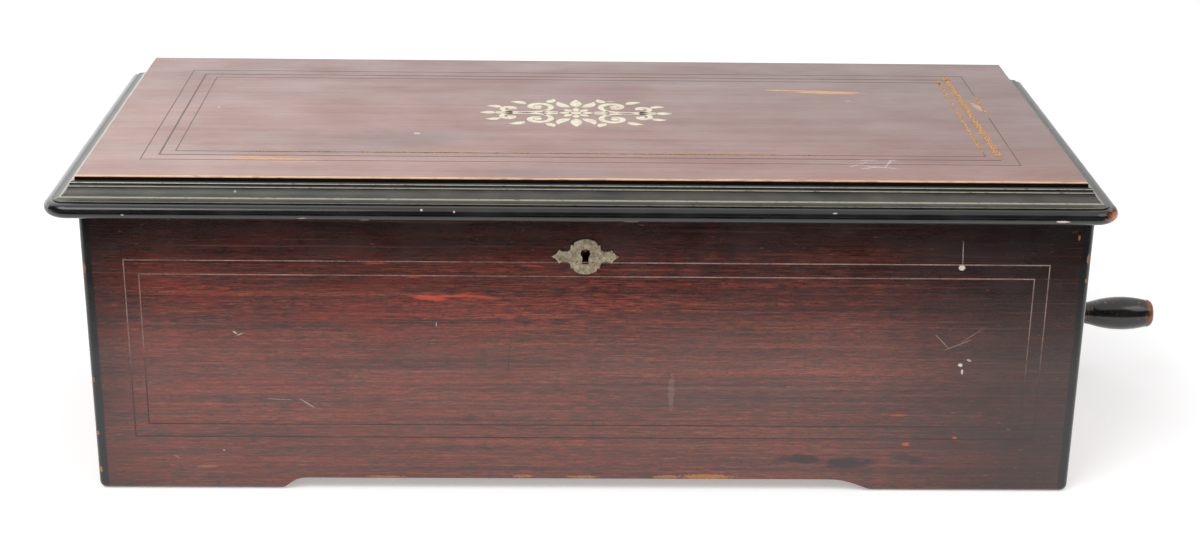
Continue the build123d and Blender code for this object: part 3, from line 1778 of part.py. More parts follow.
def lever(x, tail):
    """A lever: hub on the pin, upright arm to a round knob, and its own tail."""
    hub = disc(lever_pivot_y, lever_pivot_z, lever_hub_radius)
    half, top_half = lever_arm_width / 2, lever_arm_top_width / 2
    arm = polygon(
        [
            (lever_pivot_y - half, lever_pivot_z),
            (lever_pivot_y + half, lever_pivot_z),
            (lever_pivot_y + top_half, lever_top),
            (lever_pivot_y - top_half, lever_top),
        ]
    )
    body = plate_x(hub + arm + tail, x, lever_thickness)
    knob = Pos(x + lever_thickness / 2, lever_pivot_y, lever_top) * Sphere(lever_knob_radius)
    bore = lever_pin_radius + running_play
    return body + knob - rod_x(x, x + lever_thickness, lever_pivot_y, lever_pivot_z, bore)


def tail_outline(end_y, end_z, finger):
    """A straight tail from the hub to a finger that stands up at its end."""
    half = lever_tail_width / 2
    return polygon(
        [
            (lever_pivot_y, lever_pivot_z - half),
            (end_y, end_z - half),
            (end_y, end_z + finger),
            (end_y - half, end_z + finger),
            (end_y - lever_tail_width, end_z + half),
            (lever_pivot_y, lever_pivot_z + half),
        ]
    )


def start_lever():
    """Play and stop: raised, its finger stands in the way of the fly."""
    end_z = fly_bottom - start_finger_height - start_finger_gap
    tail = tail_outline(worm_y - start_finger_reach, end_z, start_finger_height)
    return lever(start_lever_x, tail)


def change_lever():
    """Change and repeat: raised, its finger catches a point of the star."""
    reach = snail_offset + star_radius + change_finger_gap
    angle = math.radians(change_finger_degrees)
    end_y, end_z = polar(cylinder_y, axis_z, reach, angle)
    tail = tail_outline(end_y, end_z - change_finger_height, change_finger_height)
    return lever(change_lever_x, tail)


# ---------------------------------------------------------------- write every node
moulding_front, moulding_left, moulding_right = mouldings()

nodes = {
    "front_board": front_board(),
    "back_board": back_board(),
    "left_board": left_board(),
    "right_board": right_board(),
    "bottom_board": bottom_board(),
    "glass_lid_ledges": glass_lid_ledges(),
    "lid_board": lid_board(),
    "lid_moulding_front": moulding_front,
    "lid_moulding_left": moulding_left,
    "lid_moulding_right": moulding_right,
    "strike_plate": strike_plate(),
    "tune_card": tune_card(),
    "card_tacks": card_tacks(),
    "case_hinge_leaves": lid_hinge_leaves(-1, 0),
    "lid_hinge_leaves": lid_hinge_leaves(1, 1),
    "hinge_pins": hinge_pins(),
    "lock_case": lock_case(),
    "lock_bolt": lock_bolt(),
    "escutcheon": escutcheon(),
    "glass_lid_frame": glass_frame(),
    "glass_pane": glass_block(0),
    "glass_lid_knob": frame_knob(),
    "glass_hinge_case_leaves": glass_hinge_case_leaves(),
    "glass_hinge_frame_leaves": glass_hinge_frame_leaves(),
    "bedplate": bedplate(),
    "bedplate_bolts": bed_bolts(),
    "inner_bridge": inner_bridge(),
    "outer_bridge": outer_bridge(),
    "left_bridge": left_bridge(),
    "bridge_screws": bridge_screws(),
    "cylinder_arbor": cylinder_arbor(),
    "cylinder_pinion": cylinder_pinion(),
    "cylinder_wheel": cylinder_wheel(),
    "cylinder_shell": cylinder_shell(),
    "cylinder_end_left": cylinder_end_left(),
    "cylinder_end_right": cylinder_end_right(),
    "tune_snail": tune_snail(),
    "spring_barrel": spring_barrel(),
    "barrel_cover": barrel_cover(),
    "mainspring": mainspring(),
    "winding_arbor": winding_arbor(),
    "ratchet_wheel": ratchet_wheel(),
    "click": click(),
    "click_spring": click_spring(),
    "winding_bush": winding_bush(),
    "crank_arm": crank_arm(),
    "crank_nut": crank_nut(),
    "crank_handle": crank_handle(),
    "comb": comb(),
    "comb_base": comb_base(),
    "comb_screws": comb_screws(),
    "governor_frame": governor_frame(),
    "governor_cock": governor_cock_plate(),
    "governor_end_cap": end_cap(),
    "governor_first_wheel": first_arbor() + first_wheel(),
    "governor_worm_wheel": second_arbor() + worm_wheel(),
    "governor_fly": fly(),
    "lever_bracket": lever_bracket(),
    "start_lever": start_lever(),
    "change_lever": change_lever(),
}

os.makedirs("parts", exist_ok=True)
to_origin = Pos(-origin_x, -origin_y, 0)
for name, solid in nodes.items():
    if isinstance(solid, list):
        solid = Compound(children=[to_origin * piece for piece in solid])
    else:
        solid = to_origin * solid
    export_step(solid, f"parts/{name}.step")
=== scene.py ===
import math
import random

import bmesh
import bpy
from mathutils import Matrix, Vector

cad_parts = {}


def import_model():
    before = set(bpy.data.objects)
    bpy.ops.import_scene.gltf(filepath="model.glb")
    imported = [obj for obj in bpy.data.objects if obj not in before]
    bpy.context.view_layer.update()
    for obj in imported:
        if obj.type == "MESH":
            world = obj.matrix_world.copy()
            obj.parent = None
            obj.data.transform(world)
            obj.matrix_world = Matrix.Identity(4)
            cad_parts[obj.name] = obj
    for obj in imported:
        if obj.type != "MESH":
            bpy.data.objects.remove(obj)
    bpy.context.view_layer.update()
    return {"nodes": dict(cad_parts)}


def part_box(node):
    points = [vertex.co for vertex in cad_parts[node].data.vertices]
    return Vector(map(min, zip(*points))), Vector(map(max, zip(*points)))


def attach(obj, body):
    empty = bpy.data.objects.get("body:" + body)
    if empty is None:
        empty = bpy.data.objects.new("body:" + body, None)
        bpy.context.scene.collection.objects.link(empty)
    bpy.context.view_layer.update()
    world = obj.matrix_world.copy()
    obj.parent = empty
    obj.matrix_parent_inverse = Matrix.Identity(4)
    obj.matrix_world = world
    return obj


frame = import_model()
cad = frame["nodes"]

# A hand cranked cylinder musical box. Lengths in this script are case millimetres, as in the
# part's source: x along the case from its middle, y from the front face back, z up from the
# floor. at() turns them into metres in the shared frame.
ORIGIN_X, ORIGIN_Y = 31.75, 113.05
MM = 0.001

LID_TOP = 182.5
LID_CENTRE = (-3.5, 118.5)
FRONT_CENTRE = (0.0, 84.2)
FRONT_INNER_CENTRE = (0.0, 84.0)
ORNAMENT_CENTRE = (-6.3, 122.0)
PROUD = 0.04
INLAY_DEPTH = 0.3

AXIS_Z = 98.0
CYLINDER_Y = 96.0
CYLINDER_RADIUS = 26.0
CYLINDER_LEFT, CYLINDER_RIGHT = -112.0, 158.0
COMB_TEETH, COMB_PITCH = 78, 3.4
COMB_LEFT = (CYLINDER_LEFT + CYLINDER_RIGHT - COMB_TEETH * COMB_PITCH) / 2


def at(x, y, z):
    return Vector((x - ORIGIN_X, y - ORIGIN_Y, z)) * MM


# ---------------------------------------------------------------- shader helpers
def paint(red, green, blue):
    """A display colour, 0 to 255, as a linear one."""
    def linear(value):
        share = value / 255
        return share / 12.92 if share < 0.04045 else ((share + 0.055) / 1.055) ** 2.4
    return (linear(red), linear(green), linear(blue), 1.0)


class Nodes:
    """Short calls for the nodes of one tree."""

    def __init__(self, tree):
        self.tree = tree

    def put(self, socket, value):
        if isinstance(value, bpy.types.NodeSocket):
            self.tree.links.new(value, socket)
        else:
            socket.default_value = value

    def sum(self, operation, a, b=0.0, c=0.0):
        node = self.tree.nodes.new("ShaderNodeMath")
        node.operation = operation
        for socket, value in zip(node.inputs, (a, b, c)):
            self.put(socket, value)
        return node.outputs[0]

    def times(self, a, b):
        return self.sum("MULTIPLY", a, b)

    def larger(self, a, b):
        return self.sum("MAXIMUM", a, b)

    def parts(self, vector):
        node = self.tree.nodes.new("ShaderNodeSeparateXYZ")
        self.put(node.inputs[0], vector)
        return node.outputs

    def between(self, value, low, high, out_low=0.0, out_high=1.0):
        node = self.tree.nodes.new("ShaderNodeMapRange")
        node.interpolation_type = "SMOOTHSTEP"
        for socket, number in zip(node.inputs, (value, low, high, out_low, out_high)):
            self.put(socket, number)
        return node.outputs[0]


class Surface(Nodes):
    """A material with its Principled shader, and short calls for the nodes that feed it."""

    def __init__(self, name, **constants):
        self.material = bpy.data.materials.new(name)
        self.material.use_nodes = True
        super().__init__(self.material.node_tree)
        self.shader = self.tree.nodes["Principled BSDF"]
        for key, value in constants.items():
            self.shader.inputs[key.replace("_", " ")].default_value = value
        coordinates = self.tree.nodes.new("ShaderNodeTexCoord")
        self.normal = coordinates.outputs["Normal"]
        shift = self.tree.nodes.new("ShaderNodeVectorMath")
        shift.operation = "MULTIPLY_ADD"
        shift.inputs[1].default_value = (1 / MM,) * 3
        shift.inputs[2].default_value = (ORIGIN_X, ORIGIN_Y, 0)
        self.tree.links.new(coordinates.outputs["Object"], shift.inputs[0])
        self.place = shift.outputs[0]

    def feed(self, **values):
        for key, value in values.items():
            self.put(self.shader.inputs[key.replace("_", " ")], value)

    def scaled(self, scale, shift=(0, 0, 0), vector=None):
        """The place in millimetres, or another vector, times a scale for each axis."""
        return self.vector_sum("MULTIPLY_ADD", vector or self.place, scale, shift)[0]

    def noise(self, vector, detail=4.0, roughness=0.55, distortion=0.0):
        node = self.tree.nodes.new("ShaderNodeTexNoise")
        self.put(node.inputs["Vector"], vector)
        node.inputs["Scale"].default_value = 1.0
        node.inputs["Detail"].default_value = detail
        node.inputs["Roughness"].default_value = roughness
        node.inputs["Distortion"].default_value = distortion
        return node.outputs[0]

    def ramp(self, value, stops):
        node = self.tree.nodes.new("ShaderNodeValToRGB")
        elements = node.color_ramp.elements
        while len(elements) < len(stops):
            elements.new(0.5)
        for element, (position, colour) in zip(elements, stops):
            element.position = position
            element.color = colour
        self.put(node.inputs[0], value)
        return node.outputs[0]

    def mix(self, share, first, second):
        node = self.tree.nodes.new("ShaderNodeMix")
        node.data_type = "RGBA"
        self.put(node.inputs[0], share)
        self.put(node.inputs[6], first)
        self.put(node.inputs[7], second)
        return node.outputs[2]

    def bump(self, height, millimetres, strength=1.0):
        node = self.tree.nodes.new("ShaderNodeBump")
        node.inputs["Strength"].default_value = strength
        node.inputs["Distance"].default_value = millimetres * MM
        self.put(node.inputs["Height"], height)
        self.put(self.shader.inputs["Normal"], node.outputs[0])

    def vector_sum(self, operation, *values):
        node = self.tree.nodes.new("ShaderNodeVectorMath")
        node.operation = operation
        for socket, value in zip(node.inputs, values):
            self.put(socket, value)
        return node.outputs

    def away(self, centre, sizes, axis, turn):
        """The distance from a spot's centre, where 1 is the edge of its ellipse."""
        if turn == 0:
            inverse = tuple(1 / size for size in sizes)
            start = tuple(-place / size for place, size in zip(centre, sizes))
            local = self.vector_sum("MULTIPLY_ADD", self.place, inverse, start)[0]
            return self.vector_sum("LENGTH", local)["Value"]
        angle = math.radians(turn)
        long_way = Vector((math.cos(angle), 0, -math.sin(angle)))
        short_way = Vector((math.sin(angle), 0, math.cos(angle)))
        width = sizes[2]
        if axis == 2:
            long_way = Vector((math.cos(angle), math.sin(angle), 0))
            short_way = Vector((-math.sin(angle), math.cos(angle), 0))
            width = sizes[1]
        square = 0.0
        for way, size in ((long_way, sizes[0]), (short_way, width)):
            far = self.vector_sum("DOT_PRODUCT", self.place, way / size)["Value"]
            far = self.sum("SUBTRACT", far, way.dot(Vector(centre)) / size)
            square = self.sum("MULTIPLY_ADD", far, far, square)
        return self.sum("SQRT", square)

    def marks(self, places, ragged, rough, soft):
        """A mask of worn spots: each is a centre, three half sizes, an axis, a turn and a strength.

        The turn is about the axis: 1, for Y, on the front, and 2, for Z, on the lid.
        """
        total = None
        for centre, sizes, axis, turn, strength in places:
            edge = self.sum("MULTIPLY_ADD", ragged, 2 * rough, self.away(centre, sizes, axis, turn))
            one = self.between(edge, 1.0 + rough, 1.0 + rough - soft, 0.0, strength)
            total = one if total is None else self.larger(total, one)
        return total


# ---------------------------------------------------------------- wood
def grain(surface, along, across, depth, seed=0.0, crisp=1.0):
    """Rosewood streaks: a value for the colour, one for the pores and one for broad tone.

    Each of along, across and depth is the index of an axis.
    """
    def stretch(a, b):
        scale = [0.0, 0.0, 0.0]
        scale[along], scale[across], scale[depth] = a, b, 0.02
        return tuple(scale)

    shift = (seed, seed * 1.7, seed * 0.6)
    wave = surface.noise(surface.scaled(stretch(0.008, 0.02), shift), 2.0)
    lift = surface.times(surface.sum("SUBTRACT", wave, 0.5), 4.0)
    node = surface.tree.nodes.new("ShaderNodeCombineXYZ")
    surface.put(node.inputs[across], lift)
    warped = surface.vector_sum("ADD", surface.place, node.outputs[0])[0]
    bands = surface.noise(surface.scaled(stretch(0.003, 0.12), shift, warped), 4.0, 0.6)
    streaks = surface.noise(surface.scaled(stretch(0.008, 0.75), shift, warped), 4.0, 0.7)
    threads = surface.noise(surface.scaled(stretch(0.10, 1.3), shift, warped), 3.0, 0.7)
    pores = surface.noise(surface.scaled(stretch(0.40, 1.5), shift, warped), 2.0, 0.6)
    value = surface.sum("MULTIPLY_ADD", bands, 0.30, surface.times(streaks, 0.36))
    value = surface.sum("MULTIPLY_ADD", threads, 0.34 * crisp, value)
    value = surface.sum("SUBTRACT", value, 0.17 * (crisp - 1.0))
    tone = surface.noise(surface.scaled(stretch(0.006, 0.012), shift), 3.0)
    return value, pores, tone


ROSEWOOD = [
    (0.38, paint(36, 18, 17)),
    (0.45, paint(76, 30, 24)),
    (0.50, paint(112, 46, 34)),
    (0.55, paint(140, 58, 42)),
    (0.62, paint(166, 80, 58)),
]


def rosewood(surface, along, across, depth, seed=0.0, crisp=1.0):
    """The streaked veneer: its colour, its streaks and its pores."""
    value, pores, tone = grain(surface, along, across, depth, seed, crisp)
    colour = surface.ramp(value, ROSEWOOD)
    pore = surface.between(pores, 0.51, 0.66)
    colour = surface.mix(surface.times(pore, 0.7), colour, paint(34, 25, 24))
    dull = surface.between(tone, 0.40, 0.70)
    return surface.mix(surface.times(dull, 0.35), colour, paint(62, 44, 38)), value, pore


def plain_wood(surface, along, light, dark, seed=0.0):
    """Plain long grain: its colour and its rings."""
    scale = [0.4, 0.4, 0.4]
    scale[along] = 0.012
    shift = (seed, seed, seed)
    rings = surface.noise(surface.scaled(tuple(scale), shift), 5.0, 0.6)
    return surface.mix(surface.between(rings, 0.3, 0.72), dark, light), rings


# ---------------------------------------------------------------- wear
# A spot on the front is its place across and up, its two half sizes, a turn in degrees and a
# strength. One on the lid is its place across and back, and the rest alike. One on the moulding
# is its place in three axes, three half sizes and a strength. THROUGH is the half size that goes
# into the surface.
THROUGH, LID_SPOTS_HEIGHT = 20, 182
FRONT_AXIS, LID_AXIS = 1, 2

FRONT_RED = [
    (-86, 115.2, 12, 1.8, 5, 0.9),
    (-72, 116.3, 20, 0.9, -1, 0.8),
    (-58, 115.6, 12, 0.6, 4, 0.6),
    (-114, 135, 9, 0.7, 0, 0.5),
    (-93, 127.5, 7, 0.6, -6, 0.5),
    (-30, 134, 8, 0.6, 3, 0.5),
    (-2, 137.5, 5, 0.5, 0, 0.5),
    (177, 29.4, 2.6, 1.5, 0, 0.9),
    (204, 33, 1.6, 1.2, 0, 0.9),
    (172, 47, 6, 0.8, 0, 0.6),
    (-99, 60, 6, 0.5, -22, 0.4),
]
FRONT_BARE = [
    (-35, 8.6, 7, 1.0, 0, 0.8),
    (-2, 8.4, 10, 0.9, 0, 0.9),
    (45, 8.6, 9, 1.1, 0, 0.9),
    (67, 8.8, 16, 1.7, 0, 1.0),
    (-112, 8.2, 12, 0.6, 0, 0.7),
    (-210, 14, 7, 0.8, 0, 0.5),
    (-226, 20, 2, 0.6, 30, 0.6),
    (-268.6, 34, 1.0, 1.8, 0, 0.9),
    (-268.4, 12, 1.2, 2.0, 0, 0.9),
    (-268.6, 66, 0.8, 1.6, 0, 0.8),
    (-268.6, 131, 0.9, 3.4, 0, 0.8),
    (268, 140, 0.9, 4.0, 0, 0.8),
    (262, 152, 0.7, 1.8, 0, 0.7),
    (268, 127, 0.8, 1.4, 0, 0.8),
]
FRONT_WHITE = [
    (200.3, 134.4, 2.1, 1.6, 0, 0.95),
    (200.2, 142.5, 0.22, 8.0, -3, 0.6),
    (203.7, 77.4, 1.3, 1.2, 0, 0.9),
    (205.0, 73.2, 0.7, 1.6, 0, 0.8),
    (208.4, 80.2, 1.6, 0.8, 24, 0.5),
    (202, 89.5, 10, 0.24, -24, 0.3),
    (193, 91, 7, 0.24, 46, 0.35),
    (209, 95, 9, 0.2, -36, 0.22),
    (-190.5, 94.4, 1.4, 0.5, 40, 0.6),
    (-188, 93.4, 2.4, 0.35, -18, 0.5),
    (-168, 55.0, 9, 0.22, 3, 0.3),
    (-153, 52.5, 6, 0.3, 34, 0.45),
    (-269.4, 22, 0.7, 3.0, 0, 0.6),
    (46, 60, 2.0, 12, 0, 0.07),
    (-82, 100, 0.3, 1.6, 0, 0.5),
    (-200, 24, 0.5, 0.5, 0, 0.7),
]
FRONT_DARK = [
    (118, 20, 16, 3.6, 2, 0.8),
    (146, 17.5, 20, 4.4, 0, 0.8),
    (180, 20, 13, 3.0, 4, 0.6),
    (-43, 78, 0.45, 14, 4, 0.55),
    (-39, 58, 0.4, 7, 0, 0.3),
    (108, 24, 0.4, 16, 24, 0.35),
    (77, 95.7, 3, 1.2, 0, 0.4),
    (18, 105, 6, 3.0, 30, 0.22),
    (-158, 113, 2.0, 6, 24, 0.3),
]
LID_OCHRE = [
    (-172, 32, 23, 2.4, -2, 1.0),
    (-186, 36, 9, 0.8, 0, 0.8),
    (-158, 28, 14, 0.8, 3, 0.9),
    (122, 172.5, 16, 1.5, -4, 0.9),
    (147, 169, 22, 3.6, -2, 1.0),
    (232, 140, 2.2, 9, 16, 0.6),
]
LID_WHITE = [
    (146, 30, 8, 0.45, 40, 0.6),
    (154, 38, 7, 0.9, 8, 0.6),
    (162, 31, 8, 0.5, 66, 0.6),
    (158, 25, 10, 0.6, -14, 0.6),
    (151, 24, 7, 0.5, 20, 0.6),
    (166, 38, 3, 1.2, 0, 0.5),
    (-96, 80, 2.2, 2.4, 0, 0.5),
    (14, 146, 3.0, 1.2, 0, 0.4),
    (156, 151, 2.4, 0.8, 0, 0.5),
    (-214, 128, 0.9, 0.9, 0, 0.6),
]
MOULDING_RUBBED = [
    (277, -10, 168, 8, 7, 4.0, 0.95),
    (283, -4, 171, 4, 9, 2.4, 0.9),
]
MOULDING_CHIPS = [
    (248, -14.5, 166.4, 4.2, 6, 0.7, 0.95),
    (-243, -14.5, 166.8, 1.2, 6, 0.5, 0.6),
    (-118, -15, 164.4, 3, 6, 0.3, 0.6),
    (-88, -14, 170.2, 0.7, 6, 0.6, 0.8),
    (-71, -14, 169.6, 0.6, 6, 0.6, 0.8),
    (22, -15, 164.3, 5, 6, 0.3, 0.6),
    (-150, -14.8, 165.4, 2.4, 6, 0.4, 0.5),
    (128, -13.5, 170.0, 1.4, 6, 0.4, 0.6),
    (-186, -5, 176.0, 0.9, 6, 0.7, 0.5),
]


def on_front(spots):
    return [
        ((x, 0, z), (wide, THROUGH, tall), FRONT_AXIS, turn, strength)
        for x, z, wide, tall, turn, strength in spots
    ]


def on_lid(spots):
    return [
        ((x, y, LID_SPOTS_HEIGHT), (wide, deep, THROUGH), LID_AXIS, turn, strength)
        for x, y, wide, deep, turn, strength in spots
    ]


def on_moulding(spots):
    return [
        ((x, y, z), (wide, deep, tall), FRONT_AXIS, 0, strength)
        for x, y, z, wide, deep, tall, strength in spots
    ]


def front_tone(s, x, z, cloud, patches, colour):
    """Redder at the left; near black at the top, with painted shade under the moulding, and at the
    ends; a painted reflection of the floor, paler and greyer, towards the foot.
    """
    reddish = s.times(s.between(patches, 0.46, 0.66), s.between(x, 60.0, -150.0))
    colour = s.mix(s.times(reddish, 0.35), colour, paint(150, 40, 28))
    # painted shade: near black towards the top, under the moulding's overhang
    drop = s.sum("MULTIPLY_ADD", cloud, 34.0, s.sum("SUBTRACT", z, 17.0))
    top_darkening = s.between(drop, 100.0, 158.0)
    right = s.between(s.sum("MULTIPLY_ADD", cloud, 90.0, x), 155.0, 290.0)
    left = s.between(s.sum("MULTIPLY_ADD", cloud, 60.0, s.times(x, -1.0)), 256.0, 305.0)
    shade = s.larger(s.times(right, 0.86), s.times(left, 0.7))
    shade = s.times(shade, s.between(z, 10.0, 110.0, 0.9, 1.0))
    clear = s.sum("SUBTRACT", 1.0, s.times(top_darkening, 0.86))
    clear = s.times(clear, s.sum("SUBTRACT", 1.0, shade))
    colour = s.mix(clear, paint(24, 14, 13), colour)
    # painted reflection: the lower front is made paler and greyer, as if it mirrored the white
    # floor
    painted_floor_reflection = s.between(s.sum("MULTIPLY_ADD", cloud, 40.0, z), 142.0, 92.0)
    painted_floor_reflection = s.times(painted_floor_reflection, s.times(clear, 0.34))
    return s.mix(painted_floor_reflection, colour, paint(112, 84, 76))


def front_streaks(s, colour):
    """Long dark and pale lines, cloudy grey spots and short tan dashes."""
    lines = s.noise(s.scaled((0.004, 0.2, 0.55), (6, 0, 1)), 4.0, 0.7)
    dark_lines = s.between(lines, 0.47, 0.60, 0.0, 0.34)
    colour = s.mix(dark_lines, colour, paint(52, 34, 32))
    pale_lines = s.between(lines, 0.44, 0.34, 0.0, 0.22)
    colour = s.mix(pale_lines, colour, paint(146, 98, 84))
    spots = s.noise(s.scaled((0.10, 0.2, 0.22), (8, 0, 3)), 4.0, 0.65)
    colour = s.mix(s.between(spots, 0.56, 0.70, 0.0, 0.45), colour, paint(46, 44, 50))
    dashes = s.noise(s.scaled((0.16, 0.2, 1.1), (2, 0, 9)), 3.0, 0.6)
    return s.mix(s.between(dashes, 0.66, 0.72, 0.0, 0.5), colour, paint(178, 112, 78))


def front_wear(s, z, patches, colour):
    """Red scratches, bare wood, white scuffs and dark stains; also the bare and white masks."""
    feather = s.noise(s.scaled((0.10, 0.2, 2.2)), 4.0)
    red = s.marks(on_front(FRONT_RED), feather, 0.9, 0.5)
    colour = s.mix(red, colour, paint(196, 74, 48))
    torn = s.noise(s.scaled((0.45, 0.3, 1.1)), 5.0)
    bare = s.marks(on_front(FRONT_BARE), torn, 0.8, 0.35)
    foot = s.between(s.sum("MULTIPLY_ADD", patches, 4.2, z), 3.5, 1.9)
    bare = s.larger(bare, s.times(foot, 0.8))
    flakes = s.noise(s.scaled((0.9, 0.9, 1.4)), 3.0)
    colour = s.mix(bare, colour, s.mix(flakes, paint(126, 70, 38), paint(214, 150, 96)))
    scuffs = s.noise(s.scaled((0.5, 0.3, 0.5)), 5.0)
    white = s.marks(on_front(FRONT_WHITE), scuffs, 0.7, 0.3)
    colour = s.mix(white, colour, paint(226, 214, 202))
    stain = s.noise(s.scaled((0.10, 0.2, 0.34)), 5.0)
    dark = s.marks(on_front(FRONT_DARK), stain, 0.8, 0.6)
    return s.mix(dark, colour, paint(32, 31, 36)), bare, white


def front_veneer():
    """The front: streaked veneer, near black at its top and edges, partly with painted shade, with
    a painted floor reflection low down, rubbed and marked.
    """
    s = Surface("front_rosewood", IOR=1.5)
    x, _, z = s.parts(s.place)
    colour, value, pore = rosewood(s, 0, 2, 1, crisp=1.8)
    cloud = s.noise(s.scaled((0.012, 0.02, 0.05)), 4.0)
    patches = s.noise(s.scaled((0.02, 0.02, 0.10), (4, 0, 2)), 3.0)
    colour = front_tone(s, x, z, cloud, patches, colour)
    colour = front_streaks(s, colour)
    colour, bare, white = front_wear(s, z, patches, colour)
    side = s.sum("ABSOLUTE", x)
    band = s.between(s.sum("MULTIPLY_ADD", cloud, 1.6, side), 264.6, 265.6)
    top = s.between(z, 159.0, 160.0)
    edge = s.times(s.larger(band, top), s.sum("SUBTRACT", 1.0, bare))
    colour = s.mix(edge, colour, paint(20, 19, 19))
    _, ny, nz = s.parts(s.normal)
    inside = s.between(ny, 0.2, 0.6)
    pale = plain_wood(s, 0, paint(171, 128, 84), paint(132, 92, 58))[0]
    colour = s.mix(inside, colour, pale)
    under = s.between(nz, -0.3, -0.7)
    colour = s.mix(under, colour, paint(60, 40, 30))
    rough = s.between(s.noise(s.scaled((0.03, 0.03, 0.06)), 5.0), 0.2, 0.8, 0.20, 0.34)
    rough = s.larger(rough, s.times(s.larger(bare, inside), 0.7))
    s.feed(Base_Color=colour, Roughness=rough)
    height = s.sum("MULTIPLY_ADD", pore, -0.5, value)
    height = s.sum("MULTIPLY_ADD", s.larger(bare, white), -1.2, height)
    s.bump(height, 0.035, 0.5)
    return s.material


def side_veneer():
    """The ends: veneer with its grain along the board, dark at the top, pale wood inside."""
    s = Surface("side_rosewood", IOR=1.5)
    x, _, z = s.parts(s.place)
    colour, value, pore = rosewood(s, 1, 2, 0, 4.0)
    cloud = s.noise(s.scaled((0.03, 0.03, 0.05), (5, 5, 5)), 4.0)
    top_darkening = s.between(s.sum("MULTIPLY_ADD", cloud, 30.0, z), 140.0, 172.0)
    colour = s.mix(s.times(top_darkening, 0.8), colour, paint(24, 15, 14))
    foot = s.between(s.sum("MULTIPLY_ADD", cloud, 4.0, z), 3.8, 1.6)
    colour = s.mix(foot, colour, paint(176, 116, 70))
    nx = s.parts(s.normal)[0]
    inward = s.between(s.times(nx, x), -60.0, -120.0)
    pale = plain_wood(s, 1, paint(171, 128, 84), paint(132, 92, 58))[0]
    colour = s.mix(inward, colour, pale)
    rough = s.between(s.noise(s.scaled((0.05, 0.05, 0.05)), 5.0), 0.2, 0.8, 0.3, 0.5)
    s.feed(Base_Color=colour, Roughness=rough)
    s.bump(s.sum("MULTIPLY_ADD", pore, -0.5, value), 0.05, 0.5)
    return s.material


def back_veneer():
    """The back: stained brown, with a long plain grain, and pale wood inside."""
    s = Surface("back_stained", IOR=1.5)
    z = s.parts(s.place)[2]
    stained, rings = plain_wood(s, 0, paint(96, 56, 38), paint(58, 32, 24), 3.0)
    ny = s.parts(s.normal)[1]
    pale = plain_wood(s, 0, paint(171, 128, 84), paint(132, 92, 58), 9.0)[0]
    colour = s.mix(s.between(ny, -0.2, -0.6), stained, pale)
    cloud = s.noise(s.scaled((0.02, 0.02, 0.03)), 4.0)
    foot = s.between(s.sum("MULTIPLY_ADD", cloud, 5.0, z), 4.6, 2.0)
    colour = s.mix(foot, colour, paint(150, 104, 66))
    s.feed(Base_Color=colour, Roughness=s.between(cloud, 0.2, 0.8, 0.42, 0.62))
    s.bump(rings, 0.08, 0.5)
    return s.material


def lid_tone(s, x, y, value, pores):
    """The lid's veneer with a painted sheen: lightened colours, paler at its near left and greyer
    towards the far right, where the painted sheen fades.
    """
    # painted sheen: these colours are lighter than the wood's own, for its reflection of the bright
    # surroundings
    colour = s.ramp(
        value,
        [
            (0.38, paint(110, 72, 66)),
            (0.45, paint(132, 90, 81)),
            (0.52, paint(146, 98, 88)),
            (0.58, paint(156, 108, 97)),
            (0.66, paint(166, 120, 108)),
        ],
    )
    pore = s.between(pores, 0.54, 0.68)
    colour = s.mix(s.times(pore, 0.16), colour, paint(92, 64, 60))
    # painted sheen: paler at the near left, fading towards the far right
    far = s.between(s.sum("MULTIPLY_ADD", x, 0.45, y), 0.0, 300.0)
    painted_sheen_near_left = s.between(s.sum("MULTIPLY_ADD", x, 0.7, y), 20.0, -160.0)
    colour = s.mix(s.times(painted_sheen_near_left, 0.2), colour, paint(214, 186, 178))
    patches = s.noise(s.scaled((0.008, 0.022, 0.02), (1, 5, 0)), 4.0)
    dull = s.times(s.between(patches, 0.46, 0.66), 0.5)
    # grey: the veneer's dull patches, and the painted sheen fading towards the far right
    grey = s.larger(dull, s.times(far, 0.6))
    return s.mix(grey, colour, paint(104, 88, 84)), pore


def lid_wear(s, y, colour):
    """Bare ochre, white scuffs, and the arris: rubbed wood behind a black polished edge."""
    torn = s.noise(s.scaled((0.12, 0.8, 0.2)), 5.0, 0.65)
    ochre = s.marks(on_lid(LID_OCHRE), torn, 0.9, 0.35)
    flakes = s.noise(s.scaled((0.3, 1.2, 0.3)), 4.0)
    colour = s.mix(ochre, colour, s.mix(flakes, paint(190, 128, 78), paint(238, 196, 148)))
    scuffs = s.noise(s.scaled((0.6, 0.6, 0.3)), 5.0)
    white = s.marks(on_lid(LID_WHITE), scuffs, 0.7, 0.35)
    colour = s.mix(white, colour, paint(228, 210, 204))
    worn = s.noise(s.scaled((0.05, 0.3, 0.3)), 5.0, 0.7)
    arris = s.between(s.sum("MULTIPLY_ADD", worn, -1.3, y), 2.6, 2.2)
    polished = s.between(y, 1.1, 0.8)
    edge_tone = s.noise(s.scaled((0.12, 0.3, 0.3), (3, 3, 3)), 3.0)
    rubbed = s.mix(s.between(edge_tone, 0.30, 0.55), paint(176, 116, 76), paint(226, 172, 124))
    colour = s.mix(arris, colour, rubbed)
    return s.mix(polished, colour, paint(16, 16, 17)), ochre, polished


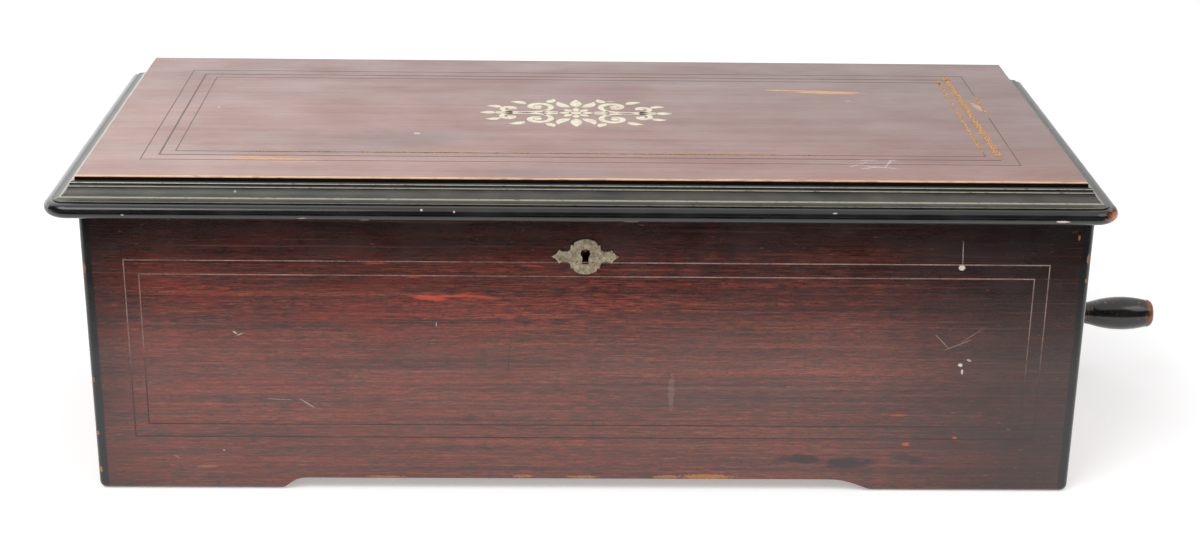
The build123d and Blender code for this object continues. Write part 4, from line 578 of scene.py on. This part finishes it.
def lid_veneer():
    """The lid's board: veneer above, rubbed to bare wood at the front arris, plain below."""
    s = Surface("lid_rosewood", IOR=1.5)
    x, y, _ = s.parts(s.place)
    value, pores, _ = grain(s, 0, 1, 2, 7.0)
    colour, pore = lid_tone(s, x, y, value, pores)
    colour, ochre, polished = lid_wear(s, y, colour)
    nz = s.parts(s.normal)[2]
    below = s.between(nz, -0.2, -0.6)
    pale = plain_wood(s, 0, paint(150, 98, 62), paint(112, 68, 44), 2.0)[0]
    colour = s.mix(below, colour, pale)
    rough = s.between(s.noise(s.scaled((0.02, 0.04, 0.04)), 5.0), 0.2, 0.8, 0.30, 0.46)
    rough = s.sum("SUBTRACT", rough, s.times(polished, 0.2))
    rough = s.larger(rough, s.times(s.larger(ochre, below), 0.66))
    s.feed(Base_Color=colour, Roughness=rough)
    height = s.sum("MULTIPLY_ADD", pore, -0.5, value)
    s.bump(s.sum("MULTIPLY_ADD", ochre, -1.6, height), 0.05, 0.5)
    return s.material


# heights on the lid's moulding: where the dusty cove, with its painted reflection, and the
# quirk, with its painted shade, begin and end, and the light lines with half their widths
COVE_FOOT, COVE_HEAD = (171.8, 172.3), (176.8, 178.0)
QUIRK_FOOT, QUIRK_HEAD = (170.3, 170.8), (171.0, 171.6)
LIGHT_LINES = ((172.1, 0.3), (173.2, 0.35), (177.9, 0.3), (179.6, 0.3))


def moulding_dust_and_painted_light(s, z, cloud, dust, colour):
    """Dust and a painted reflection in the cove, light lines on its edges and painted shade in the
    quirk; also the cove's mask.
    """
    cove = s.times(s.between(z, *COVE_FOOT), s.between(z, *reversed(COVE_HEAD)))
    # the cove's olive grey is partly dust and partly a painted reflection of the light overhead
    dust_and_reflection = s.mix(s.between(cloud, 0.3, 0.7), paint(50, 49, 43), paint(74, 72, 63))
    colour = s.mix(s.times(cove, 0.9), colour, dust_and_reflection)
    speckle = s.between(dust, 0.24, 0.50)
    for height, half in LIGHT_LINES:
        away = s.sum("ABSOLUTE", s.sum("SUBTRACT", z, height))
        line = s.times(s.between(away, half, half * 0.4), speckle)
        colour = s.mix(s.times(line, 0.8), colour, paint(176, 172, 152))
    # painted shade: the quirk, a narrow groove, is painted darker than the black polish
    quirk = s.times(s.between(z, *QUIRK_FOOT), s.between(z, *reversed(QUIRK_HEAD)))
    return s.mix(s.times(quirk, 0.8), colour, paint(10, 10, 10)), cove


def ebonised():
    """The lid's moulding: black polish, dusty in its cove with a painted reflection, painted shade
    in its quirk, rubbed through at its right corner.
    """
    s = Surface("ebonised", IOR=1.5)
    z = s.parts(s.place)[2]
    cloud = s.noise(s.scaled((0.05, 0.05, 0.2)), 5.0)
    colour = s.mix(s.between(cloud, 0.35, 0.75), paint(15, 15, 16), paint(30, 30, 31))
    dust = s.noise(s.scaled((0.3, 0.3, 1.2), (3, 3, 3)), 5.0, 0.7)
    colour, cove = moulding_dust_and_painted_light(s, z, cloud, dust, colour)
    ragged = s.noise(s.scaled((0.22, 0.3, 0.8)), 5.0)
    rubbed = s.marks(on_moulding(MOULDING_RUBBED), ragged, 0.8, 0.5)
    warm = s.mix(s.between(dust, 0.35, 0.65), paint(126, 66, 30), paint(196, 120, 62))
    colour = s.mix(rubbed, colour, warm)
    broken = s.noise(s.scaled((0.6, 0.6, 0.9)), 5.0)
    chips = s.marks(on_moulding(MOULDING_CHIPS), broken, 0.6, 0.3)
    colour = s.mix(chips, colour, paint(216, 204, 188))
    rough = s.between(cloud, 0.25, 0.8, 0.12, 0.26)
    rough = s.larger(rough, s.times(s.larger(cove, rubbed), 0.40))
    s.feed(Base_Color=colour, Roughness=rough)
    s.bump(s.noise(s.scaled((0.5, 0.5, 0.5)), 4.0), 0.03, 0.5)
    return s.material


def handle_wood():
    """The turned handle: black polish, worn to the wood at its end, its neck and in scratches."""
    s = Surface("handle_black", IOR=1.5)
    x = s.parts(s.place)[0]
    cloud = s.noise(s.scaled((0.10, 0.12, 0.12)), 5.0, 0.6)
    rings = s.noise(s.scaled((1.1, 0.05, 0.05)), 3.0)
    colour = s.mix(s.between(cloud, 0.3, 0.7), paint(14, 13, 13), paint(34, 30, 28))
    end = s.between(s.sum("MULTIPLY_ADD", cloud, 12.0, x), 350.0, 356.5)
    neck = s.times(s.between(x, 316.0, 302.0), s.between(rings, 0.52, 0.66))
    scratch = s.noise(s.scaled((0.5, 0.16, 0.16), (7, 7, 7)), 5.0, 0.7)
    rub = s.times(s.between(scratch, 0.60, 0.68), 0.55)
    worn = s.larger(end, s.larger(s.times(neck, 0.5), rub))
    wood = s.mix(s.between(scratch, 0.35, 0.65), paint(88, 48, 26), paint(170, 104, 58))
    colour = s.mix(worn, colour, wood)
    s.feed(Base_Color=colour, Roughness=s.between(worn, 0.0, 1.0, 0.16, 0.42))
    s.bump(s.sum("MULTIPLY_ADD", worn, -0.6, rings), 0.06, 0.5)
    return s.material


def inner_wood(name, light, dark, rough):
    s = Surface(name, IOR=1.5)
    colour, rings = plain_wood(s, 0, light, dark, 1.0)
    s.feed(Base_Color=colour, Roughness=s.between(rings, 0.2, 0.8, rough, rough + 0.15))
    s.bump(rings, 0.08, 0.5)
    return s.material


# ---------------------------------------------------------------- metal, glass and card
def metal(name, light, dark, rough, spots=None, scale=0.12, brushed=None, metallic=1.0, bump=0.02):
    """A metal with clouds of tarnish, an optional brushed direction and optional spots."""
    s = Surface(name, Metallic=metallic)
    cloud = s.noise(s.scaled((scale,) * 3), 6.0, 0.62)
    colour = s.mix(s.between(cloud, 0.3, 0.72), dark, light)
    shine = s.between(cloud, 0.2, 0.8, rough + 0.14, rough)
    height = s.noise(s.scaled((1.6,) * 3), 4.0)
    if brushed is not None:
        lines = s.noise(s.scaled(brushed), 3.0, 0.7)
        shine = s.sum("MULTIPLY_ADD", s.sum("SUBTRACT", lines, 0.5), 0.2, shine)
        height = s.sum("ADD", height, lines)
    if spots is not None:
        speck = s.between(s.noise(s.scaled((0.7,) * 3, (9, 9, 9)), 3.0), 0.62, 0.70)
        colour = s.mix(s.times(speck, 0.7), colour, spots)
    s.feed(Base_Color=colour, Roughness=shine)
    s.bump(height, bump, 0.5)
    return s.material


def escutcheon_metal():
    """An old keyhole plate: dull, engraved with crossed hatching and leafy lines."""
    s = Surface("escutcheon_metal", Metallic=0.75)
    x, _, z = s.parts(s.place)
    cloud = s.noise(s.scaled((0.5, 0.5, 0.5)), 5.0)
    colour = s.mix(s.between(cloud, 0.3, 0.7), paint(150, 134, 110), paint(206, 192, 166))
    spun = s.sum("SINE", s.times(s.sum("ADD", x, z), 5.2))
    back = s.sum("SINE", s.times(s.sum("SUBTRACT", x, z), 5.2))
    hatch = s.times(spun, back)
    leafy = s.noise(s.scaled((0.42, 0.42, 0.42), (2, 2, 2)), 2.0, 0.5, 1.6)
    cut = s.between(s.sum("ABSOLUTE", s.sum("SUBTRACT", leafy, 0.5)), 0.03, 0.01)
    lines = s.larger(s.times(s.between(hatch, 0.3, 0.8), 0.35), cut)
    colour = s.mix(s.times(lines, 0.75), colour, paint(56, 48, 40))
    s.feed(Base_Color=colour, Roughness=s.between(cloud, 0.2, 0.8, 0.32, 0.5))
    s.bump(s.times(lines, -1.0), 0.12, 0.7)
    return s.material


def glass():
    s = Surface("pane", Transmission_Weight=1.0, IOR=1.45, Base_Color=(0.96, 0.985, 0.975, 1.0))
    ripple = s.noise(s.scaled((0.01, 0.01, 0.01)), 2.0)
    s.feed(Roughness=s.between(s.noise(s.scaled((0.05,) * 3), 4.0), 0.3, 0.8, 0.0, 0.03))
    s.bump(ripple, 0.05, 0.3)
    return s.material


def card():
    """A cream card with a printed double border and ruled blank lines."""
    s = Surface("card", IOR=1.45)
    x, y, _ = s.parts(s.place)
    fibre = s.noise(s.scaled((0.6, 0.6, 0.6)), 5.0)
    age = s.noise(s.scaled((0.03, 0.03, 0.03)), 4.0)
    colour = s.mix(s.between(age, 0.3, 0.75), paint(214, 198, 158), paint(232, 220, 186))
    across = s.sum("ABSOLUTE", s.sum("SUBTRACT", x, -3.0))
    deep = s.sum("ABSOLUTE", s.sum("SUBTRACT", y, 118.0))
    edge = s.larger(s.sum("SUBTRACT", across, 84.0), s.sum("SUBTRACT", deep, 56.0))
    lines = s.between(s.sum("ABSOLUTE", s.sum("ADD", edge, 5.0)), 0.8, 0.6)
    thin = s.between(s.sum("ABSOLUTE", s.sum("ADD", edge, 8.0)), 0.35, 0.2)
    rule = s.sum("ABSOLUTE", s.sum("SUBTRACT", s.sum("PINGPONG", deep, 6.0), 6.0))
    inner = s.between(edge, -12.0, -12.4)
    ruled = s.times(s.between(rule, 0.3, 0.15), inner)
    ink = s.larger(s.larger(lines, thin), s.times(ruled, 0.6))
    colour = s.mix(s.times(ink, 0.8), colour, paint(92, 52, 52))
    s.feed(Base_Color=colour, Roughness=s.between(fibre, 0.2, 0.8, 0.75, 0.9))
    s.bump(fibre, 0.03, 0.5)
    return s.material


def line_wood():
    """The front stringing's wood: light above and nearly black low down."""
    s = Surface("stringing_wood", IOR=1.5)
    z = s.parts(s.place)[2]
    worn = s.noise(s.scaled((0.02, 0.02, 0.02)), 4.0, 0.7)
    speck = s.noise(s.scaled((0.5, 0.5, 0.5)), 3.0)
    tone = s.sum("MULTIPLY_ADD", speck, 0.3, s.times(worn, 0.7))
    colour = s.ramp(
        tone,
        [
            (0.34, paint(58, 40, 36)),
            (0.44, paint(104, 78, 70)),
            (0.54, paint(142, 112, 102)),
            (0.66, paint(178, 148, 134)),
        ],
    )
    low = s.between(z, 96.0, 60.0)
    colour = s.mix(s.times(low, 0.85), colour, paint(30, 20, 19))
    s.feed(Base_Color=colour, Roughness=s.between(speck, 0.2, 0.8, 0.4, 0.6))
    return s.material


def dark_line():
    """The lid's dark lines, broken by dust."""
    s = Surface("lid_line", IOR=1.5)
    speck = s.noise(s.scaled((0.06, 0.06, 0.06)), 5.0, 0.7)
    colour = s.ramp(
        speck,
        [(0.40, paint(52, 30, 28)), (0.52, paint(74, 44, 40)), (0.66, paint(120, 84, 76))],
    )
    s.feed(Base_Color=colour, Roughness=s.between(speck, 0.2, 0.8, 0.4, 0.6))
    return s.material


def raw_groove():
    """Bare ochre wood and old glue where a line is missing."""
    s = Surface("bare_groove", IOR=1.5)
    grit = s.noise(s.scaled((0.8, 0.8, 0.8)), 5.0, 0.7)
    colour = s.ramp(
        grit,
        [(0.36, paint(92, 60, 36)), (0.47, paint(176, 122, 70)), (0.60, paint(232, 188, 130))],
    )
    s.feed(Base_Color=colour, Roughness=s.between(grit, 0.2, 0.8, 0.7, 0.9))
    s.bump(grit, 0.4, 1.0)
    return s.material


def inlay_metal():
    """The lid's ornament: a soft silvery inlay, dulled in places."""
    s = Surface("ornament_inlay", Metallic=0.35)
    cloud = s.noise(s.scaled((0.25, 0.25, 0.25)), 5.0)
    colour = s.mix(s.between(cloud, 0.3, 0.7), paint(196, 186, 160), paint(226, 218, 196))
    s.feed(Base_Color=colour, Roughness=s.between(cloud, 0.2, 0.8, 0.34, 0.5))
    s.bump(cloud, 0.03, 0.5)
    return s.material


BRASS_LIGHT, BRASS_DARK = paint(206, 168, 96), paint(150, 112, 58)
STEEL_LIGHT, STEEL_DARK = paint(188, 190, 192), paint(122, 124, 128)

finishes = {
    "front_veneer": front_veneer(),
    "side_veneer": side_veneer(),
    "lid_veneer": lid_veneer(),
    "plain_board": inner_wood("plain_board", paint(176, 134, 90), paint(138, 98, 62), 0.55),
    "ebonised": ebonised(),
    "handle_wood": handle_wood(),
    "frame_wood": inner_wood("frame_wood", paint(58, 34, 26), paint(30, 18, 15), 0.3),
    "glass": glass(),
    "card": card(),
    "gilt_iron": metal(
        "gilt_iron", paint(186, 150, 84), paint(138, 104, 54), 0.38, paint(70, 54, 34), 0.05,
        metallic=0.85, bump=0.12,
    ),
    "steel": metal("steel", STEEL_LIGHT, STEEL_DARK, 0.22, None, 0.1, (0.05, 2.5, 2.5)),
    "blued_steel": metal("blued_steel", paint(72, 84, 128), paint(34, 40, 72), 0.2),
    "plated_iron": metal(
        "plated_iron", paint(176, 172, 164), paint(104, 96, 88), 0.3, paint(88, 62, 44)
    ),
    "brass": metal("brass", BRASS_LIGHT, BRASS_DARK, 0.24, None, 0.08),
}
# pieces whose finish is not the one that their slot names
own_finishes = {
    "escutcheon": escutcheon_metal(),
    "back_board": back_veneer(),
}
for name, node in cad.items():
    for slot in node.material_slots:
        slot.material = own_finishes.get(name) or finishes[slot.material.name.split(".")[0]]

line_finish = line_wood()
lid_line_finish = dark_line()
groove_finish = raw_groove()
ornament_finish = inlay_metal()


# ---------------------------------------------------------------- mesh helpers
def linked(name, mesh, finish):
    """A new object in the scene from a finished bmesh, with its material."""
    data = bpy.data.meshes.new(name)
    mesh.to_mesh(data)
    mesh.free()
    data.materials.append(finish)
    thing = bpy.data.objects.new(name, data)
    bpy.context.scene.collection.objects.link(thing)
    return thing


def made(name, mesh, finish, body):
    """A new piece from a finished bmesh, with its material, body and slot."""
    bmesh.ops.recalc_face_normals(mesh, faces=mesh.faces)
    piece = linked(name, mesh, finish)
    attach(piece, body)
    return piece


def lid_face(u, v, height):
    return at(u, v, LID_TOP + height)


def front_face(u, v, height):
    return at(u, -height, v)


def strip(mesh, face, middle, half_widths):
    """A thin closed solid along a line on one face of the case."""
    rows = []
    last = len(middle) - 1
    for index, (u, v) in enumerate(middle):
        before, after = middle[max(index - 1, 0)], middle[min(index + 1, last)]
        along = Vector((after[0] - before[0], after[1] - before[1])).normalized()
        side = Vector((-along.y, along.x)) * half_widths[index]
        corners = []
        for height in (PROUD, -INLAY_DEPTH):
            for sign in (1, -1):
                corners.append(
                    mesh.verts.new(face(u + sign * side.x, v + sign * side.y, height))
                )
        rows.append(corners)
    for a, b in zip(rows, rows[1:]):
        for first, second in ((0, 1), (1, 3), (3, 2), (2, 0)):
            mesh.faces.new((a[first], a[second], b[second], b[first]))
    for row in (rows[0], rows[-1]):
        mesh.faces.new((row[0], row[1], row[3], row[2]))


def rectangle_line(name, face, centre, half, width, finish, body, gaps=()):
    """Stringing round a rectangle; a gap is a side (0 to 3) and the stretch that is missing."""
    mesh = bmesh.new()
    u, v = centre
    a, b = half
    corners = [(u - a, v - b), (u + a, v - b), (u + a, v + b), (u - a, v + b)]
    for side in range(4):
        start, end = Vector(corners[side]), Vector(corners[(side + 1) % 4])
        reach = (end - start).normalized() * width / 2
        stretches = [(0.0, 1.0)]
        for gap_side, low, high in gaps:
            if gap_side == side:
                stretches = [(0.0, low), (high, 1.0)]
        for low, high in stretches:
            p = start.lerp(end, low) - (reach if low == 0 else reach * 0)
            q = start.lerp(end, high) - (reach if high == 1 else reach * 0)
            if (q - p).length > width:
                strip(mesh, face, [tuple(p), tuple(q)], [width / 2] * 2)
    return made(name, mesh, finish, body)


# ---------------------------------------------------------------- stringing
LINE, WIDE_LINE = 0.6, 1.0
rectangle_line(
    "front_stringing_outer", front_face, FRONT_CENTRE, (247.7, 51.8), LINE, line_finish, "case"
)
rectangle_line(
    "front_stringing_inner", front_face, FRONT_INNER_CENTRE, (240.0, 44.0), LINE, line_finish,
    "case",
)
rectangle_line(
    "lid_stringing_outer", lid_face, LID_CENTRE, (237.7, 88.4), LINE, lid_line_finish, "lid",
    gaps=((1, 0.50, 0.76),),
)
rectangle_line(
    "lid_stringing_middle", lid_face, LID_CENTRE, (229.0, 80.0), WIDE_LINE, lid_line_finish, "lid",
    gaps=((1, 0.0, 1.0),),
)
rectangle_line(
    "lid_stringing_inner", lid_face, LID_CENTRE, (221.3, 73.4), LINE, lid_line_finish, "lid",
    gaps=((1, 0.04, 0.97),),
)


def rough_line(mesh, start, end, width, dice, broken=0.0):
    """A ragged line: its width wanders, and it may be broken into dashes."""
    steps = max(4, int((Vector(end) - Vector(start)).length / 1.6))
    points, widths = [], []
    for index in range(steps + 1):
        share = index / steps
        point = Vector(start).lerp(Vector(end), share)
        if broken and dice.random() < broken:
            if len(points) > 2:
                strip(mesh, lid_face, points, widths)
            points, widths = [], []
            continue
        points.append((point.x + dice.uniform(-0.15, 0.15), point.y + dice.uniform(-0.15, 0.15)))
        widths.append(width / 2 * dice.uniform(0.55, 1.25))
    if len(points) > 2:
        strip(mesh, lid_face, points, widths)


def bare_grooves():
    """Where lines are missing from the lid: long grooves at the right, dashes at the front."""
    dice = random.Random(11)
    mesh = bmesh.new()
    cu, cv = LID_CENTRE
    rough_line(mesh, (cu + 229.0, cv - 73.0), (cu + 227.0, cv + 87.0), 3.8, dice)
    rough_line(mesh, (cu + 221.3, cv - 66.0), (cu + 221.3, cv + 80.0), 2.0, dice, 0.06)
    rough_line(mesh, (cu + 237.7, cv + 4.0), (cu + 237.7, cv + 44.0), 1.6, dice, 0.12)
    rough_line(mesh, (cu - 186.0, cv - 73.4), (cu + 128.0, cv - 73.4), 1.5, dice, 0.14)
    made("lid_bare_grooves", mesh, groove_finish, "lid")


bare_grooves()


# ---------------------------------------------------------------- ornament
def curl(centre, start_radius, end_radius, start, end, count=26):
    """A spiral's points, its angles in degrees."""
    points = []
    for index in range(count):
        share = index / (count - 1)
        radius = start_radius + (end_radius - start_radius) * share**0.8
        angle = math.radians(start + (end - start) * share)
        points.append(
            (centre[0] + radius * math.cos(angle), centre[1] + radius * math.sin(angle))
        )
    return points


def bow(start, end, rise, count=16):
    """An arc from start to end, as high in its middle as the rise says."""
    a, b = Vector(start), Vector(end)
    side = Vector((-(b - a).y, (b - a).x)).normalized()
    return [
        tuple(a.lerp(b, i / (count - 1)) + side * rise * math.sin(math.pi * i / (count - 1)))
        for i in range(count)
    ]


def tapered(count, thick, thin):
    """Half widths along a stroke, thickest before its middle."""
    last = count - 1
    return [
        thin + (thick - thin) * math.sin(math.pi * (0.12 + 0.88 * i / last))
        for i in range(count)
    ]


LEAF_STEPS = 8


def leaf(base, degrees, length, half_width, bend=0.12):
    angle = math.radians(degrees)
    tip = (base[0] + length * math.cos(angle), base[1] + length * math.sin(angle))
    count = LEAF_STEPS + 1
    points = bow(base, tip, length * bend, count)
    shares = [(i / LEAF_STEPS) ** 0.8 for i in range(count)]
    widths = [0.06 + half_width * math.sin(math.pi * share) for share in shares]
    return points, widths


def bead(centre, radius):
    points, widths = [], []
    for index in range(LEAF_STEPS + 1):
        angle = math.pi * index / LEAF_STEPS
        points.append((centre[0], centre[1] - radius * math.cos(angle)))
        widths.append(max(0.05, radius * math.sin(angle)))
    return points, widths


def ornament():
    """A long foliate lozenge: a rosette, leaves, and scrolls that end in buds."""
    parts = [bead((0, 0), 3.0)]
    for petal in range(8):
        angle = math.pi * petal / 4
        foot = (3.6 * math.cos(angle), 3.6 * math.sin(angle))
        parts.append(leaf(foot, petal * 45, 6.6, 2.0, 0.0))
    quarter = [
        leaf((3.4, 11.4), 58, 13.5, 2.9, -0.14),
        (bow((10.6, 1.2), (18.8, 3.4), -0.8), tapered(16, 1.7, 1.3)),
        (curl((22.0, 12.0), 9.0, 3.2, 250, -120, 34), tapered(34, 1.9, 0.8)),
        bead((22.2, 12.4), 2.4),
        (bow((18.8, 3.2), (37.0, 1.6), -1.6), tapered(16, 1.6, 1.0)),
        (curl((38.2, 7.8), 6.4, 2.3, -102, 210, 30), tapered(30, 1.6, 0.7)),
        bead((38.2, 8.0), 1.8),
        leaf((29.6, 17.6), 26, 10.0, 2.5, 0.14),
        leaf((17.4, 20.8), 122, 8.5, 2.5, 0.12),
        leaf((43.6, 10.4), 14, 9.0, 2.2, 0.16),
        (bow((37.0, 1.5), (46.5, 0.9), 0.4), tapered(16, 1.1, 0.8)),
    ]
    for points, widths in quarter:
        for su in (1, -1):
            for sv in (1, -1):
                parts.append(([(su * u, sv * v) for u, v in points], widths))
    for side in (1, -1):
        parts.append(leaf((side * 46.5, 0), 90 - side * 90, 9.5, 2.6, 0.0))
        parts.append(leaf((0, side * 11.6), side * 90, 15.5, 3.4, 0.0))
    return parts


mesh = bmesh.new()
for points, widths in ornament():
    placed = [(u + ORNAMENT_CENTRE[0], v + ORNAMENT_CENTRE[1]) for u, v in points]
    strip(mesh, lid_face, placed, widths)
made("lid_ornament", mesh, ornament_finish, "lid")


# ---------------------------------------------------------------- movement details
PIN_DRAWS, PIN_HALF, PIN_TIP_SHARE = 2300, 0.17, 0.7
PIN_ROOT, PIN_HEIGHT = 0.3, 0.85
TUNES, TUNE_STEP = 6, 0.42


def tune_pin(mesh, x, angle):
    """One pin of the cylinder: a square peg that narrows outwards."""
    out = Vector((0, math.cos(angle), math.sin(angle)))
    side = Vector((0, -math.sin(angle), math.cos(angle)))
    middle = Vector((x, CYLINDER_Y, AXIS_Z))
    foot = (CYLINDER_RADIUS - PIN_ROOT, PIN_HALF)
    tip = (CYLINDER_RADIUS + PIN_HEIGHT, PIN_HALF * PIN_TIP_SHARE)
    rings = []
    for radius, size in (foot, tip):
        ring = []
        for sx, ss in ((-1, -1), (1, -1), (1, 1), (-1, 1)):
            p = middle + out * radius + Vector((sx * size, 0, 0)) + side * ss * size
            ring.append(mesh.verts.new(at(*p)))
        rings.append(ring)
    mesh.faces.new(rings[0])
    mesh.faces.new(rings[1])
    for i in range(4):
        j = (i + 1) % 4
        mesh.faces.new((rings[0][i], rings[0][j], rings[1][j], rings[1][i]))


def tune_pins():
    """The pins of the tunes, in line with the comb's teeth, and none where its tips stand."""
    dice = random.Random(5)
    mesh = bmesh.new()
    clear = math.radians(6)
    toward_comb = math.pi
    for _ in range(PIN_DRAWS):
        tooth = dice.randrange(COMB_TEETH)
        tune = dice.randrange(TUNES)
        x = COMB_LEFT + (tooth + 0.5) * COMB_PITCH - tune * TUNE_STEP
        angle = dice.uniform(0, 2 * math.pi)
        if abs(angle - toward_comb) < clear or x < CYLINDER_LEFT + 1:
            continue
        tune_pin(mesh, x, angle)
    made("tune_pins", mesh, finishes["steel"], "cylinder_sleeve")


tune_pins()


THREAD_LEAD, THREAD_TURNS, THREAD_STEPS = 1.571 * MM, 9, 20
# radius and rise of the thread's four corners
THREAD_SECTION = ((1.15, -0.42), (1.15, 0.42), (1.85, 0.16), (1.85, -0.16))


def endless_screw():
    """The thread round the fly's arbor, as a swept ridge."""
    low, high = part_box("governor_fly")
    x = (low.x + high.x) / 2
    y = (low.y + high.y) / 2
    wheel_low, wheel_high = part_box("governor_worm_wheel")
    z = (wheel_low.z + wheel_high.z) / 2
    mesh = bmesh.new()
    rows = []
    for index in range(THREAD_TURNS * THREAD_STEPS + 1):
        angle = 2 * math.pi * index / THREAD_STEPS
        base = z + (index / THREAD_STEPS - THREAD_TURNS / 2) * THREAD_LEAD
        row = []
        for radius, rise in THREAD_SECTION:
            across, deep = radius * MM * math.cos(angle), radius * MM * math.sin(angle)
            row.append(mesh.verts.new((x + across, y + deep, base + rise * MM)))
        rows.append(row)
    for a, b in zip(rows, rows[1:]):
        for i in range(4):
            j = (i + 1) % 4
            mesh.faces.new((a[i], a[j], b[j], b[i]))
    mesh.faces.new(rows[0])
    mesh.faces.new(rows[-1])
    made("endless_screw", mesh, finishes["steel"], "fly")


endless_screw()


# ---------------------------------------------------------------- stage, light and camera
FLOOR_REACH, FLOOR_SEEN_GLOW, FLOOR_GLOSS_GLOW = 30.0, 0.33, 0.85


def floor():
    """A white sheet, lit a little by itself so that it fades into the surroundings."""
    s = Surface("floor_paper", Roughness=0.9)
    s.shader.inputs["Specular IOR Level"].default_value = 0.0
    s.feed(Base_Color=(0.93, 0.93, 0.93, 1.0))
    s.shader.inputs["Emission Color"].default_value = (1.0, 1.0, 1.0, 1.0)
    path = s.tree.nodes.new("ShaderNodeLightPath")
    seen = s.larger(path.outputs["Is Camera Ray"], path.outputs["Is Transmission Ray"])
    glow = s.times(path.outputs["Is Glossy Ray"], FLOOR_GLOSS_GLOW)
    s.feed(Emission_Strength=s.sum("MULTIPLY_ADD", seen, FLOOR_SEEN_GLOW, glow))
    mesh = bmesh.new()
    corners = [(-1, -1), (1, -1), (1, 1), (-1, 1)]
    reach = FLOOR_REACH
    mesh.faces.new([mesh.verts.new((x * reach, y * reach, 0.0)) for x, y in corners])
    plane = linked("floor", mesh, s.material)


floor()


PLAIN_LIGHT, SWEEP_LIGHT, OVERHEAD_LIGHT, DIM_LIGHT = 0.62, 1.62, 1.3, 0.10


def world():
    """White surroundings: plain for most rays, and a studio for those that gloss sends out."""
    surroundings = bpy.data.worlds.new("studio")
    bpy.context.scene.world = surroundings
    surroundings.use_nodes = True
    n = Nodes(surroundings.node_tree)
    background = n.tree.nodes["Background"]
    path = n.tree.nodes.new("ShaderNodeLightPath").outputs
    seen = n.larger(path["Is Camera Ray"], path["Is Transmission Ray"])
    level = n.sum("ADD", n.times(seen, 1.0 - PLAIN_LIGHT), PLAIN_LIGHT)
    # what gloss reflects: a bright sweep behind, a softbox overhead, and a dim room in front
    x, y, z = n.parts(n.tree.nodes.new("ShaderNodeTexCoord").outputs["Generated"])
    sweep = n.times(n.between(y, 0.0, 0.35), SWEEP_LIGHT)
    sweep = n.times(sweep, n.sum("ADD", n.times(x, -0.9), 1.0))
    overhead = n.times(n.between(z, 0.62, 0.80), OVERHEAD_LIGHT)
    mirrored = n.larger(n.larger(sweep, overhead), DIM_LIGHT)
    glossy = path["Is Glossy Ray"]
    other = n.times(level, n.sum("SUBTRACT", 1.0, glossy))
    background.inputs["Color"].default_value = (1.0, 1.0, 1.0, 1.0)
    n.put(background.inputs["Strength"], n.sum("ADD", other, n.times(glossy, mirrored)))


world()


def flag():
    """A dark sheet on the table in front of the box, which only reflections see."""
    s = Surface("flag_black", Roughness=1.0)
    s.shader.inputs["Specular IOR Level"].default_value = 0.0
    s.feed(Base_Color=(0.01, 0.01, 0.01, 1.0))
    mesh = bmesh.new()
    corners = [(-3.0, -4.0), (3.0, -4.0), (3.0, -0.36), (-3.0, -0.36)]
    mesh.faces.new([mesh.verts.new((x, y, 0.001)) for x, y in corners])
    card_object = linked("flag", mesh, s.material)
    card_object.visible_camera = False
    card_object.visible_diffuse = False
    card_object.visible_transmission = False
    card_object.visible_shadow = False


flag()


def lamp(name, place, target, size, watts):
    data = bpy.data.lights.new(name, "AREA")
    data.shape = "RECTANGLE"
    data.size, data.size_y = size
    data.energy = watts
    lamp_object = bpy.data.objects.new(name, data)
    lamp_object.location = place
    aim = Vector(target) - Vector(place)
    lamp_object.rotation_euler = aim.to_track_quat("-Z", "Y").to_euler()
    bpy.context.scene.collection.objects.link(lamp_object)


lamp("key_softbox", (-1.1, -1.2, 1.9), (0.0, 0.0, 0.05), (1.4, 1.0), 22.0)
lamp("fill_softbox", (1.3, -0.9, 1.5), (0.0, 0.0, 0.05), (1.0, 1.0), 7.0)


CAMERA_PLACE, CAMERA_LENS = (-20.5, -1023.8, 527.4), 61.56
CAMERA_TURN, CAMERA_DOWN, CAMERA_ROLL = 1.477, 21.16, 0.883


def camera():
    """The photograph's view: place, lens, and the turns about three axes."""
    turn, down, roll = (math.radians(a) for a in (CAMERA_TURN, CAMERA_DOWN, CAMERA_ROLL))
    forward = Vector(
        (math.sin(turn) * math.cos(down), math.cos(turn) * math.cos(down), -math.sin(down))
    )
    level = Vector((math.cos(turn), -math.sin(turn), 0))
    rise = level.cross(forward)
    right = level * math.cos(roll) + rise * math.sin(roll)
    up = rise * math.cos(roll) - level * math.sin(roll)
    data = bpy.data.cameras.new("camera")
    data.sensor_width = 36.0
    data.lens = CAMERA_LENS
    data.clip_start, data.clip_end = 0.01, 100.0
    eye = bpy.data.objects.new("camera", data)
    matrix = Matrix((right, up, -forward)).transposed().to_4x4()
    matrix.translation = at(*CAMERA_PLACE)
    eye.matrix_world = matrix
    bpy.context.scene.collection.objects.link(eye)
    bpy.context.scene.camera = eye


camera()
bpy.context.scene.view_settings.view_transform = "Standard"
